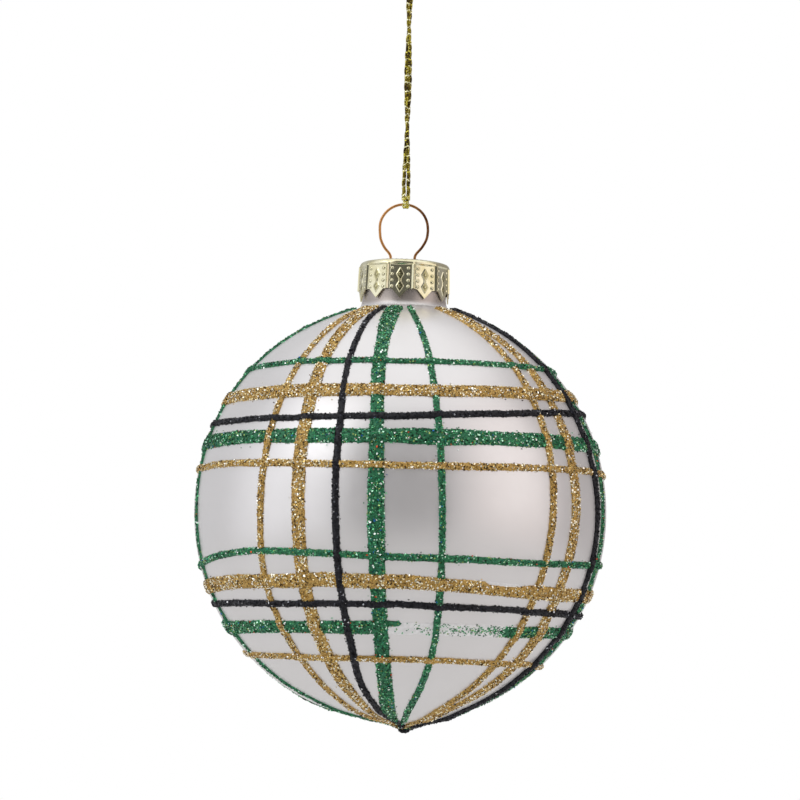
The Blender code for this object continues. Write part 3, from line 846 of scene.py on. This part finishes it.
def tip_bead(tones, glue):
    """The black blob where the stripes end under the ball's point."""
    rng = np.random.default_rng(77)
    low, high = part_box("tip_bead")
    middle = np.array((low + high) / 2) + np.array((0, 0, BLOB_RISE))
    radius = (high.x - low.x) / 2
    tall = (high.z - low.z) / 2 + BLOB_TALLER
    polar = np.linspace(0, math.pi, 26)[:, None]
    turn = (np.arange(40) * math.tau / 40)[None, :]
    upright = np.cos(polar) * np.ones_like(turn)
    ball = np.stack([np.sin(polar) * np.cos(turn), np.sin(polar) * np.sin(turn), upright], axis=-1)
    lumps = 1 + 0.06 * rng.normal(size=ball.shape[:2])[..., None]
    lumps[[0, -1]] = 1.0
    points = middle + ball * lumps * (radius, radius, tall)
    made = mesh_object("tip_blob", points.reshape(-1, 3), skin_faces(26, 40), (), [glue])
    made.data.validate()
    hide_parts("tip_bead")
    outward = unit(rng.normal(size=(330, 3)))
    outward[:, 2] = -np.abs(outward[:, 2])
    centres = middle + outward * (radius, radius, tall)
    normals = unit(outward + rng.normal(0, 0.35, outward.shape))
    sizes = CHIP_SIZE * rng.uniform(0.8, 1.3, len(centres))
    shares = np.array([tone[3] for tone in FLAKE_TONES["black"]])
    choice = rng.choice(len(shares), len(centres), p=shares / shares.sum())
    top = chips("tip_blob_flakes", centres, normals, sizes, choice, tones, rng)
    for piece in (made, top):
        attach(piece, "ball")


# Cap

CAP_PANELS = 11
CAP_FIRST_PANEL = math.radians(-5.5)  # where the middle of a panel lies
CAP_SHEET = 0.00025
CAP_STEPS = 42  # columns of points in a panel
CAP_ROWS = 72
CAP_TOP = (
    (0.0, 0.0492),
    (0.0030, 0.0491),
    (0.0060, 0.0489),
    (0.0077, 0.0487),
    (0.0084, 0.0485),
    (0.0087, 0.0482),
)
CAP_SIDE_RADIUS = (0.00883, 0.0090)  # at the shoulder and at the edge
CAP_SIDE_Z = (0.0478, 0.0428)
CAP_TILT = math.radians(1.2)  # the cap sits a little lower on its right
CAP_TILT_Z = 0.0450
CAP_POINT = 0.0017
CAP_POINT_HALF = 0.65
PANEL_HALF = 0.00885 * math.pi / CAP_PANELS
PLEAT_HEIGHT = 0.00019
PLEAT_WIDTH = 0.00015
GROOVE_PLACE = 0.00034  # from a pleat's crest
GROOVE_DEPTH = 0.00007
DOT_HEIGHTS = (0.0468, 0.0456, 0.0444, 0.04325)
DOT_PLACE = 0.63
DOT_RADIUS = 0.00029
DOT_HEIGHT = 0.00016
# Each lozenge's middle, half width and half height.
LOZENGES = ((0.04565, 0.00075, 0.00130), (0.04330, 0.00075, 0.00125))
LOZENGE_HEIGHT = 0.00016
OUTLINE_HEIGHT = 0.00006
EYELET_RADIUS = 0.0002
EYELET_HEIGHT = 0.00006
BOSS_RADIUS = 0.00012
BOSS_HEIGHT = 0.00005
MOAT_DEPTH = 0.00003  # round each dot
RIB_HEIGHT = 0.00006  # on the dome
DENT_DEPTH = 0.0003  # where the wire goes in
DENT_RADIUS = 0.00042
DENT_LIP = 0.00007
PANEL_TOP = 0.0477
# The narrow link between the two lozenges.
WAIST_HALF = 0.0002
WAIST_Z = 0.04445
WAIST_REACH = 0.0006
WAIST_FADE = 0.0001


def lozenge_depth(across, z):
    """How far inside the chain of two lozenges a place on a panel is: 1 at their middles, 0 on the outline."""
    past_waist = np.maximum(np.abs(z - WAIST_Z) - WAIST_REACH, 0.0)
    inside = (WAIST_HALF - np.abs(across)) / LOZENGES[0][1] - past_waist / WAIST_FADE
    for middle, half_width, half_height in LOZENGES:
        inside = np.maximum(inside, 1 - np.abs(across) / half_width - np.abs(z - middle) / half_height)
    return inside


def cap_relief(across, share, z):
    """How far the stamped pattern stands out at a distance across a panel, its share of the half panel and a
    height, and how much painted shade darkens it there: in the grooves, round the dots and over the lozenges."""
    low = 1 - smoothstep((z - PANEL_TOP + 0.0002) / 0.0004)
    from_crest = (1 - np.abs(share)) * PANEL_HALF
    groove = np.exp(-(((from_crest - GROOVE_PLACE) / 0.0001) ** 2)) * low
    relief = PLEAT_HEIGHT * np.exp(-((from_crest / PLEAT_WIDTH) ** 2)) * low - GROOVE_DEPTH * groove
    # Painted shade: the grooves beside each pleat, the moats round the dots and the lozenges are darkened, the
    # eyelet bosses are not.
    relief_shade = 0.5 * groove
    for dot_z in DOT_HEIGHTS:
        away = np.hypot(np.abs(across) - DOT_PLACE * PANEL_HALF, z - dot_z) / DOT_RADIUS
        moat = np.exp(-(((away - 1.15) / 0.25) ** 2))
        relief = relief + DOT_HEIGHT * np.sqrt(np.clip(1 - away ** 2, 0, 1)) - MOAT_DEPTH * moat
        relief_shade = relief_shade + 0.7 * moat
    inside = lozenge_depth(across, z)
    relief = relief + LOZENGE_HEIGHT * np.clip(inside / 0.9, 0, 1) ** 0.35
    relief = relief + OUTLINE_HEIGHT * np.exp(-(((inside - 0.12) / 0.10) ** 2))
    relief_shade = relief_shade + smoothstep((inside - 0.16) / 0.1)
    for middle, _, _ in LOZENGES:
        eyelet = np.hypot(across, z - middle)
        relief = relief + EYELET_HEIGHT * np.exp(-(((eyelet - EYELET_RADIUS) / 0.00006) ** 2))
        boss = np.exp(-((eyelet / BOSS_RADIUS) ** 2))
        relief = relief + BOSS_HEIGHT * boss
        relief_shade = relief_shade - boss
    return relief, np.clip(relief_shade, 0, 1) * low


def cap_skin(relief_share, inset):
    """Rows of points from the dome's middle to the scalloped edge, for one skin of the cap, and the painted
    shade of the relief at each point."""
    columns = CAP_PANELS * CAP_STEPS
    place = np.arange(columns) / CAP_STEPS
    turn = CAP_FIRST_PANEL + (place - 0.5) * math.tau / CAP_PANELS
    share = 2 * (place % 1.0) - 1.0
    flat = np.cos(math.pi / CAP_PANELS) / np.cos(share * math.pi / CAP_PANELS)
    top = smooth_path([(r, z, 0.0) for r, z in CAP_TOP], 6)[1:, :2]
    rows = []
    relief_shades = [np.zeros(columns) for _ in top]
    for r, z in top:
        wave = RIB_HEIGHT * np.cos(share * math.pi * 4) * smoothstep((r - 0.0050) / 0.001)
        wave = wave * smoothstep((0.0076 - r) / 0.0006)
        rows.append(np.stack([np.full(columns, r), np.full(columns, z) + wave * relief_share, turn], axis=1))
    edge = CAP_SIDE_Z[1] - CAP_POINT * np.maximum(1 - np.abs(share) / CAP_POINT_HALF, 0)
    shoulder_dip = 0.00012 * np.exp(-(((1 - np.abs(share)) / 0.07) ** 2))
    for v in np.linspace(0, 1, CAP_ROWS):
        z = CAP_SIDE_Z[0] + (edge + shoulder_dip - CAP_SIDE_Z[0]) * v
        fall = (CAP_SIDE_Z[0] - z) / (CAP_SIDE_Z[0] - CAP_SIDE_Z[1])
        radius = CAP_SIDE_RADIUS[0] + (CAP_SIDE_RADIUS[1] - CAP_SIDE_RADIUS[0]) * fall
        flatness = 0.80 * smoothstep((PANEL_TOP + 0.0002 - z) / 0.0005)
        radius = radius * (1 + (flat / flat.max() - 1) * flatness)
        relief, relief_shade = cap_relief(share * PANEL_HALF, share, z)
        radius = radius + relief * relief_share
        relief_shades.append(relief_shade * relief_share)
        rows.append(np.stack([radius, z, turn], axis=1))
    rows = np.array(rows)
    rows[:, :, 0] -= inset * smoothstep((rows[:, :, 0] - 0.004) / 0.004)
    rows[:, :, 1] -= inset * smoothstep((rows[:, :, 1] - 0.0470) / 0.0012)
    radius, z, turn = rows[..., 0], rows[..., 1], rows[..., 2]
    points = np.stack([radius * np.sin(turn), -radius * np.cos(turn), z], axis=-1)
    dent = np.zeros(points.shape[:2])
    for x in (-HOLE_X, HOLE_X):
        away = np.hypot(points[..., 0] - x - LEG_SHIFT, points[..., 1])
        dent = dent + DENT_DEPTH * np.exp(-((away / DENT_RADIUS) ** 2))
        dent = dent - DENT_LIP * np.exp(-(((away - 0.0008) / 0.0002) ** 2))
    points[..., 2] -= dent * (z > 0.0480) + points[..., 0] * math.sin(CAP_TILT)
    points[..., 0] += (z - CAP_TILT_Z) * math.sin(CAP_TILT)
    return points, np.array(relief_shades)


def cap(material):
    """The stamped crown: a dome with ribs round its rim and eleven embossed panels, in thin sheet."""
    outer, outer_shade = cap_skin(1.0, 0.0)
    inner, inner_shade = cap_skin(0.0, CAP_SHEET)
    columns = outer.shape[1]
    grid = np.vstack([outer, inner[::-1]])
    count = len(grid) * columns
    middles = np.array([(0, 0, CAP_TOP[0][1]), (0, 0, CAP_TOP[0][1] - CAP_SHEET)])
    points = np.vstack([grid.reshape(-1, 3), middles]) + BALL_CENTRE
    quads = skin_faces(len(grid), columns)[:, ::-1]
    domes = end_fans(count, columns)[:, [1, 0, 2]]
    made = mesh_object("crown_cap", points, quads, domes, [material])
    relief_shade = np.concatenate([outer_shade.ravel(), inner_shade.ravel(), (0.0, 0.0)])
    # The painted shade of the relief, stored on the mesh for the material.
    made.data.attributes.new("relief_shade", "FLOAT", "POINT").data.foreach_set("value", relief_shade.astype(np.float32))
    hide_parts("cap")
    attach(made, "cap")


# Wire clip

WIRE_STATION = 0.00018


def wire_route():
    """The clip's centreline from one leg's end over the ring to the other's, as in the CAD."""
    side = [(0.00472, -0.0007), (0.00450, -0.0022), (0.00370, -0.0038), (0.00262, -0.0051)]
    leg = [(HOLE_X, -0.0060), (0.0025, -0.0071), (0.0036, -0.0093), (0.0054, -0.0133)]
    spring = [(0.0065, -0.0178), (0.0069, -0.0208), (0.0066, -0.0232), (0.0059, -0.0246)]
    right = smooth_path([(x, 0.0, z) for x, z in [(RING_RADIUS, 0.0), *side, *leg, *spring]], 8)
    left = right[::-1] * (-1, 1, 1)
    angles = np.linspace(math.pi, 0, 72)[1:-1]
    arc = np.stack([RING_RADIUS * np.cos(angles), 0 * angles, RING_RADIUS * np.sin(angles)], axis=1)
    return np.vstack([left, arc, right]) + (0, 0, RING_Z)


def wire_clip(material):
    rng = np.random.default_rng(5)
    path = even_path(wire_route(), WIRE_STATION)
    count = len(path)
    path[:, 1] += 0.00004 * wander(rng, count, 0.004, step=WIRE_STATION)
    path[:, 0] += 0.00003 * wander(rng, count, 0.003, step=WIRE_STATION)
    path[:, 0] += RING_SHIFT + (LEG_SHIFT - RING_SHIFT) * smoothstep((RING_Z - path[:, 2]) / 0.005)
    points, quads, triangles = tube_parts(path, WIRE_LOOK_RADIUS, 16, start=(0, 1, 0))
    made = mesh_object("copper_clip", points, quads, triangles, [material])
    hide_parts("wire_clip")
    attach(made, "cap")


# Cord

# Tones of the metallic thread: colour, metallic and roughness. The brightest ones serve as painted glints and
# highlights on the loops, specks and lit segments.
LUREX_TONES = (
    ((0.055, 0.034, 0.008), 0.7, 0.35),
    ((0.200, 0.150, 0.018), 0.8, 0.3),
    ((0.480, 0.410, 0.040), 0.9, 0.26),
    ((0.780, 0.700, 0.110), 0.9, 0.22),
    ((1.000, 0.980, 0.620), 0.9, 0.18),
)
STITCH = 0.0016


def lurex_materials():
    made = []
    for number, (colour, metallic, roughness) in enumerate(LUREX_TONES, 1):
        made.append(principled(f"lurex_{number}", colour, roughness, metallic)[0])
    return made


def strand_route(side):
    """One strand's route as in the CAD: from the hitch, twisted up to the eye, round it to the knot."""
    bottom = WIRE_Z + STRAND_START
    top = -EYE_HEIGHT
    count = 24
    points = []
    for k in range(count + 1):
        z = bottom + (top - bottom) * k / count
        turn = math.pi * (z - WIRE_Z - FIRST_CROSSING) / HALF_TURN
        looseness = max(1 - (z - bottom) / LOOSE_RUN, 0.0)
        radius = TIGHT_TWIST_RADIUS + (TWIST_RADIUS - TIGHT_TWIST_RADIUS) * looseness
        points.append((side * radius * math.sin(turn), side * radius * math.cos(turn), z))
    start = math.atan2(points[-1][0], -points[-1][1])
    eye = math.copysign(1, points[-1][0])
    widths = ((0.10, 0.35), (0.30, 0.86), (0.52, 1.0), (0.74, 0.80), (0.90, 0.42), (0.975, 0.13))
    depth = TIGHT_TWIST_RADIUS * math.cos(start)
    for height, width in widths:
        points.append((eye * EYE_HALF_WIDTH * width, -depth * (1 - height), top * (1 - height)))
    points.append((0.0, 0.0, INTO_KNOT))
    return np.array(points)


def path_frames(path, start):
    """Along, across and outward directions at each point, turned as little as possible."""
    along = unit(np.gradient(path, axis=0))
    across = unit(np.cross(along[0], start))
    rows = []
    for direction in along:
        across = unit(across - direction * (across @ direction))
        rows.append(across)
    across = np.array(rows)
    return along, across, np.cross(along, across)


def chain_braid(path, radius, rng):
    """A metallic chain-stitch braid along an even path: three plies that bulge in each stitch, and a loop
    drawn across each pinch in the bright tones as a painted glint."""
    step = np.linalg.norm(path[1] - path[0])
    count = len(path)
    _, across, outward = path_frames(path, (0.0, 1.0, 0.0))
    phase = np.arange(count) * step / STITCH
    bulge = np.abs(np.sin(math.pi * phase)) ** 0.7
    parts = []
    for number, lean in enumerate((0.0, math.tau / 3, 2 * math.tau / 3)):
        turn = lean + 0.5 + 0.5 * np.sin(math.tau * phase / 2 + number)
        away = radius * (0.30 + 0.22 * bulge)
        middle = path + (np.cos(turn) * away)[:, None] * across + (np.sin(turn) * away)[:, None] * outward
        thick = radius * (0.40 + 0.10 * bulge)
        points, quads, triangles = tube_parts(middle, thick, 8)
        stitch = np.floor(phase[:-1]).astype(int)
        base = rng.choice([0, 0, 1, 1], stitch.max() + 1)[stitch]
        # Painted highlights: a quarter of the ply segments are one tone brighter.
        lit = np.where(rng.random(count - 1) < 0.25, 1, 0)
        tones = np.clip(base + lit, 0, 3)
        face_tones = np.repeat(tones, 8)
        # Painted glints: specks two tones brighter.
        speck = rng.random(len(face_tones)) < 0.12
        face_tones = np.where(speck, np.minimum(face_tones + 2, 4), face_tones)
        parts.append((points, quads, triangles, face_tones, 1))
    for place in np.arange(0, int(phase[-1]) + 1):
        k = min(int(place * STITCH / step), count - 1)
        turn = np.linspace(0, math.tau, 15)[:-1]
        tilt = rng.normal(0.85, 0.15)
        along = np.cross(across[k], outward[k])
        wide = radius * 0.66
        loop = path[k] + np.cos(turn)[:, None] * across[k] * wide + np.sin(turn)[:, None] * outward[k] * wide
        loop = loop + (np.sin(turn + rng.uniform(0, math.tau)) * wide * tilt)[:, None] * along
        points, quads, triangles = tube_parts(loop, radius * 0.30, 6, closed=True)
        # Painted glint: each loop takes a bright tone.
        tone = rng.choice([3, 4, 4, 4])
        parts.append((points, quads, triangles, tone, tone))
    return joined(parts)


def cord(materials):
    """Two strands, blended from the hitch to the hanger, with their hitch on the ring and the knot above the
    eye."""
    pieces = [*knot(materials), *hitch(materials)]
    for name, side in (("cord_left", -1), ("cord_right", 1)):
        rng = np.random.default_rng(40 + side)
        route = strand_route(side)
        path = even_path(smooth_path(route, 8), 0.0001)
        points, quads, triangles, tones = chain_braid(path, CORD_RADIUS, rng)
        made = mesh_object(f"{name}_braid", points, quads, triangles, materials, tones)
        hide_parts(name)
        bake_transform(made)


def knot(materials):
    """An overhand knot of the two strands, and their frayed tails."""
    rng = np.random.default_rng(60)
    low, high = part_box("cord_knot")
    middle = np.array((low + high) / 2)
    size = np.array((high - low) / 2) - CORD_RADIUS
    t = np.arange(150) * math.tau / 150
    across = (np.sin(t) + 2 * np.sin(2 * t), np.cos(t) - 2 * np.cos(2 * t))
    curl = np.stack([*across, -np.sin(3 * t) * 2.2], axis=1)
    path = middle + curl / (3.0, 3.0, 2.2) * size
    step = np.linalg.norm(np.roll(path, -1, 0) - path, axis=1).mean()
    parts = []
    for number in range(3):
        turn = t * 9 + number * math.tau / 3
        radial = unit(path - middle)
        upward = np.array((0, 0, 1.0))
        offset = np.cos(turn)[:, None] * radial + np.sin(turn)[:, None] * upward
        strand = path + offset * CORD_RADIUS * 0.42
        points, quads, triangles = tube_parts(strand, CORD_RADIUS * 0.5, 8, closed=True)
        tones = rng.choice([0, 1, 1, 2, 3], len(quads), p=[0.2, 0.25, 0.25, 0.2, 0.1])
        parts.append((points, quads, triangles, tones, 1))
    points, quads, triangles, tones = joined(parts)
    made = mesh_object("overhand_knot", points, quads, triangles, materials, tones)
    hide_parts("cord_knot")
    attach(made, "hanger")
    tails = [tail(name, side, materials) for name, side in (("cord_tail_left", -1), ("cord_tail_right", 1))]
    return [made, *tails]


def tail(name, side, materials):
    """One cut end of the cord, its plies splayed at the tip."""
    rng = np.random.default_rng(70 + side)
    low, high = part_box(name)
    bends = ((0.00035, 0.0), (0.0011, 0.0017), (0.0021, 0.0034), (0.0031, 0.0043))
    bottom = low.z + 0.0001
    path = smooth_path([(side * x, 0.0002 * side, bottom + z) for x, z in bends], 12)
    path = even_path(path, 0.0001)
    parts = braid_parts(path, rng)
    tip = path[-1]
    along = unit(path[-1] - path[-6])
    for number in range(14):
        spread = unit(along + rng.normal(0, 0.42, 3))
        reach = rng.uniform(0.0004, 0.0009)
        start = tip + rng.normal(0, 0.00012, 3)
        end = spread * reach
        thread = np.array([start - along * 0.0003, start, start + end * 0.5, start + end])
        points, quads, triangles = tube_parts(smooth_path(thread, 3), 0.00005, 5)
        tone = rng.choice([1, 2, 3, 4])
        parts.append((points, quads, triangles, tone, tone))
    points, quads, triangles, tones = joined(parts)
    made = mesh_object(f"{name}_braid", points, quads, triangles, materials, tones)
    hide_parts(name)
    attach(made, "hanger")
    return made


def braid_parts(path, rng):
    """Three plies twisted along a short path, as parts for joined()."""
    step = np.linalg.norm(path[1] - path[0])
    _, across, outward = path_frames(path, (0.0, 1.0, 0.0))
    parts = []
    for number in range(3):
        turn = np.arange(len(path)) * step / STITCH * math.tau / 2 + number * math.tau / 3
        offset = np.cos(turn)[:, None] * across + np.sin(turn)[:, None] * outward
        ply = path + offset * CORD_RADIUS * 0.45
        points, quads, triangles = tube_parts(ply, CORD_RADIUS * 0.5, 8)
        tones = rng.choice([0, 1, 2, 3, 4], len(quads), p=[0.2, 0.3, 0.25, 0.17, 0.08])
        parts.append((points, quads, triangles, tones, 1))
    return parts


def hitch(materials):
    """The lark's head: the turns round the wire, and the band drawn across both strands above it."""
    rng = np.random.default_rng(80)
    low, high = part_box("hitch_turns")
    half = (high.x - low.x) / 2 - CORD_RADIUS * 0.8
    inner_end = 0.00008  # of each side's turns, from the middle
    reach = WIRE_RADIUS + CORD_RADIUS * 0.42
    t = np.linspace(0, 1, 60)
    turn = -math.pi / 2 + t * math.tau * 1.25
    parts = []
    for side in (-1, 1):
        x = side * (inner_end + (half - inner_end) * t)
        coil = np.stack([x, -np.cos(turn) * reach, np.sin(turn) * reach], axis=1) + (0, 0, WIRE_Z)
        parts += braid_parts(even_path(coil, 0.0001), rng)
    points, quads, triangles, tones = joined(parts)
    # Painted highlight: the wraps take the thread's tones one step brighter than the braid.
    turns = mesh_object("hitch_wraps", points, quads, triangles, materials, np.clip(tones + 1, 1, 4))
    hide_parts("hitch_turns")
    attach(turns, "hitch")
    low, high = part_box("hitch_band")
    middle = np.array((low + high) / 2)
    wide = (high.x - low.x) / 2 - CORD_RADIUS * 0.5
    t = np.arange(72) * math.tau / 72
    loop = np.stack([wide * np.cos(t), -0.00036 * np.sin(t), 0.00016 * np.sin(2 * t)], axis=1) + middle
    parts = []
    for number in range(2):
        offset = np.stack([0 * t, 0 * t, np.cos(3 * t + number * math.pi)], axis=1) * CORD_RADIUS * 0.4
        points, quads, triangles = tube_parts(loop + offset, CORD_RADIUS * 0.52, 8, closed=True)
        tones = rng.choice([1, 2, 3, 4], len(quads), p=[0.2, 0.35, 0.3, 0.15])
        parts.append((points, quads, triangles, tones, 1))
    for x in (-0.0004, 0.0004):
        bends = ((x * 0.7, 0.0009), (x, 0.0012), (x * 1.2, 0.0021))
        leg = smooth_path([(along, 0.0, WIRE_Z + z) for along, z in bends], 6)
        parts += braid_parts(even_path(leg, 0.0001), rng)
    points, quads, triangles, tones = joined(parts)
    band = mesh_object("hitch_crossing", points, quads, triangles, materials, tones)
    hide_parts("hitch_band")
    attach(band, "swivel")
    return [turns, band]


# Studio

CAMERA_DISTANCE = 0.42
CAMERA_DROP = 0.0070  # below the ball's middle
AIM_X = -0.00044
AIM_RISE = 0.0219
CAMERA_ROLL = math.radians(1.04)
LENS = 96.8
FLOOR_DROP = 0.80


def camera():
    data = bpy.data.cameras.new("camera")
    data.lens = LENS
    data.sensor_width = 36.0
    data.clip_start = 0.01
    data.clip_end = 50.0
    eye = Vector((0.0, -CAMERA_DISTANCE, BALL_Z - CAMERA_DROP))
    aim = Vector((AIM_X, 0.0, BALL_Z + AIM_RISE))
    obj = bpy.data.objects.new("camera", data)
    obj.location = eye
    obj.rotation_euler = (aim - eye).to_track_quat("-Z", "Y").to_euler()
    obj.rotation_euler.rotate_axis("Z", CAMERA_ROLL)
    bpy.context.scene.collection.objects.link(obj)
    bpy.context.scene.camera = obj


def lobe(tree, axes, direction, middle, half, soft):
    """1 inside a soft-edged window of directions, and 0 outside it. Middle and half are the window's place and
    half size along the given parts of the direction."""
    window = None
    for axis, m, h in zip(axes, middle, half):
        away = maths(tree, "ABSOLUTE", maths(tree, "SUBTRACT", direction[axis], m))
        edge = ranged(tree, away, h - soft, h + soft, 1.0, 0.0, smooth=True)
        window = edge if window is None else maths(tree, "MULTIPLY", window, edge)
    return window


# The tent's walls: degrees round from the front towards +X, and the colour of the light from there.
TENT_WALLS = (
    (-180, (0.50, 0.50, 0.50)),
    (-112, (0.50, 0.50, 0.51)),
    (-92, (0.84, 0.84, 0.86)),
    (-80, (0.95, 0.95, 0.97)),
    (-44, (0.95, 0.95, 0.97)),
    (-30, (0.62, 0.62, 0.63)),
    (30, (0.60, 0.58, 0.58)),
    (48, (0.90, 0.81, 0.78)),
    (86, (0.88, 0.79, 0.76)),
    (98, (0.30, 0.28, 0.28)),
    (150, (0.33, 0.31, 0.31)),
    (180, (0.50, 0.50, 0.50)),
)
TENT_POWER = 1.12
TENT_TOP = (1.05, 1.05, 1.05)
OPENING_LEVEL = 0.12


def studio_world():
    """A white tent round the object, dark where it opens in front. The camera sees it as plain white."""
    world = bpy.data.worlds.new("tent")
    bpy.context.scene.world = world
    world.use_nodes = True
    tree = world.node_tree
    tree.nodes.clear()
    place = node(tree, "ShaderNodeTexCoord").outputs["Generated"]
    x, y, z = node(tree, "ShaderNodeSeparateXYZ", {0: place}).outputs
    azimuth = maths(tree, "DEGREES", maths(tree, "ARCTAN2", x, maths(tree, "MULTIPLY", y, -1.0)))
    above = maths(tree, "DEGREES", maths(tree, "ARCSINE", z))
    ramp = node(tree, "ShaderNodeValToRGB", {0: ranged(tree, azimuth, -180.0, 180.0, 0.0, 1.0)})
    stops = ramp.color_ramp.elements
    for stop, (turn, colour) in zip((stops[0], stops[1]), (TENT_WALLS[0], TENT_WALLS[-1])):
        stop.position = (turn + 180.0) / 360.0
        stop.color = (*colour, 1.0)
    for turn, colour in TENT_WALLS[1:-1]:
        stops.new((turn + 180.0) / 360.0).color = (*colour, 1.0)
    top = ranged(tree, above, 38.0, 66.0, 0.0, 1.0, smooth=True)
    walls = mix_colour(tree, top, ramp.outputs[0], TENT_TOP)
    opening = lobe(tree, (0, 1), (azimuth, above), (0.0, 10.0), (30.0, 32.0), 4.0)
    dark = tuple(OPENING_LEVEL for _ in range(3))
    light = mix_colour(tree, opening, walls, dark)
    tent = node(tree, "ShaderNodeBackground", {"Color": light, "Strength": TENT_POWER})
    plain = node(tree, "ShaderNodeBackground", {"Color": (1, 1, 1, 1), "Strength": 1.0})
    seen = node(tree, "ShaderNodeLightPath").outputs["Is Camera Ray"]
    both = node(tree, "ShaderNodeMixShader", {0: seen, 1: tent.outputs[0], 2: plain.outputs[0]})
    output = node(tree, "ShaderNodeOutputWorld")
    tree.links.new(both.outputs[0], output.inputs[0])


def softbox(name, place, size, power, colour=(1.0, 1.0, 1.0)):
    data = bpy.data.lights.new(name, "AREA")
    data.shape = "RECTANGLE"
    data.size, data.size_y = size
    data.energy = power
    data.color = colour
    obj = bpy.data.objects.new(name, data)
    aim = Vector((0, 0, BALL_Z))
    obj.location = aim + Vector(place)
    obj.rotation_euler = (-Vector(place)).to_track_quat("-Z", "Y").to_euler()
    obj.visible_camera = False
    bpy.context.scene.collection.objects.link(obj)


def floor():
    """A large pale sheet well below the hanging ornament, with a faint unevenness."""
    half = 4.0
    grid = np.linspace(-half, half, 25)
    x, y = np.meshgrid(grid, grid, indexing="ij")
    z = np.full_like(x, BALL_Z - FLOOR_DROP) + 0.001 * np.sin(x * 2.1) * np.cos(y * 1.7)
    points = np.stack([x, y, z], axis=-1).reshape(-1, 3)
    made, tree, shader = principled("pale_floor", (0.78, 0.78, 0.77), 0.7, 0.0)
    paper = object_noise(tree, 40.0, 3.0)
    tree.links.new(
        mix_colour(tree, ranged(tree, paper, 0.3, 0.7, 0.0, 1.0), (0.76, 0.76, 0.75), (0.80, 0.80, 0.79)),
        shader.inputs["Base Color"],
    )
    obj = mesh_object("floor", points, skin_faces(25, 25, closed_columns=False)[:, ::-1], (), [made])


def build():
    bpy.context.scene.view_settings.view_transform = "Standard"
    camera()
    lurex = lurex_materials()
    cord(lurex)
    glass_ball(pearl_material())
    tones = glitter_lines()
    film = white_glue_material()
    patch = glue_patch("ring_lower_green_broad_glue", "ring_lower_green_broad", -7.0, 42.0, film)
    sparse_flecks(patch, "ring_lower_green_broad_flecks", 6.0, tones["green"], np.random.default_rng(3))
    glue_patch("ring_lower_gold_broad_glue", "ring_lower_gold_broad", 22.0, 41.0, film)
    tip_bead(tones["black"], bpy.data.materials["black_glue"])
    cap(cap_material())
    wire_clip(wire_material())
    floor()
    studio_world()
    softbox("key", (-0.9, -0.7, 0.9), (0.8, 0.8), 2.0)
    softbox("fill", (1.0, -0.4, 0.4), (0.7, 0.9), 0.6)


build()
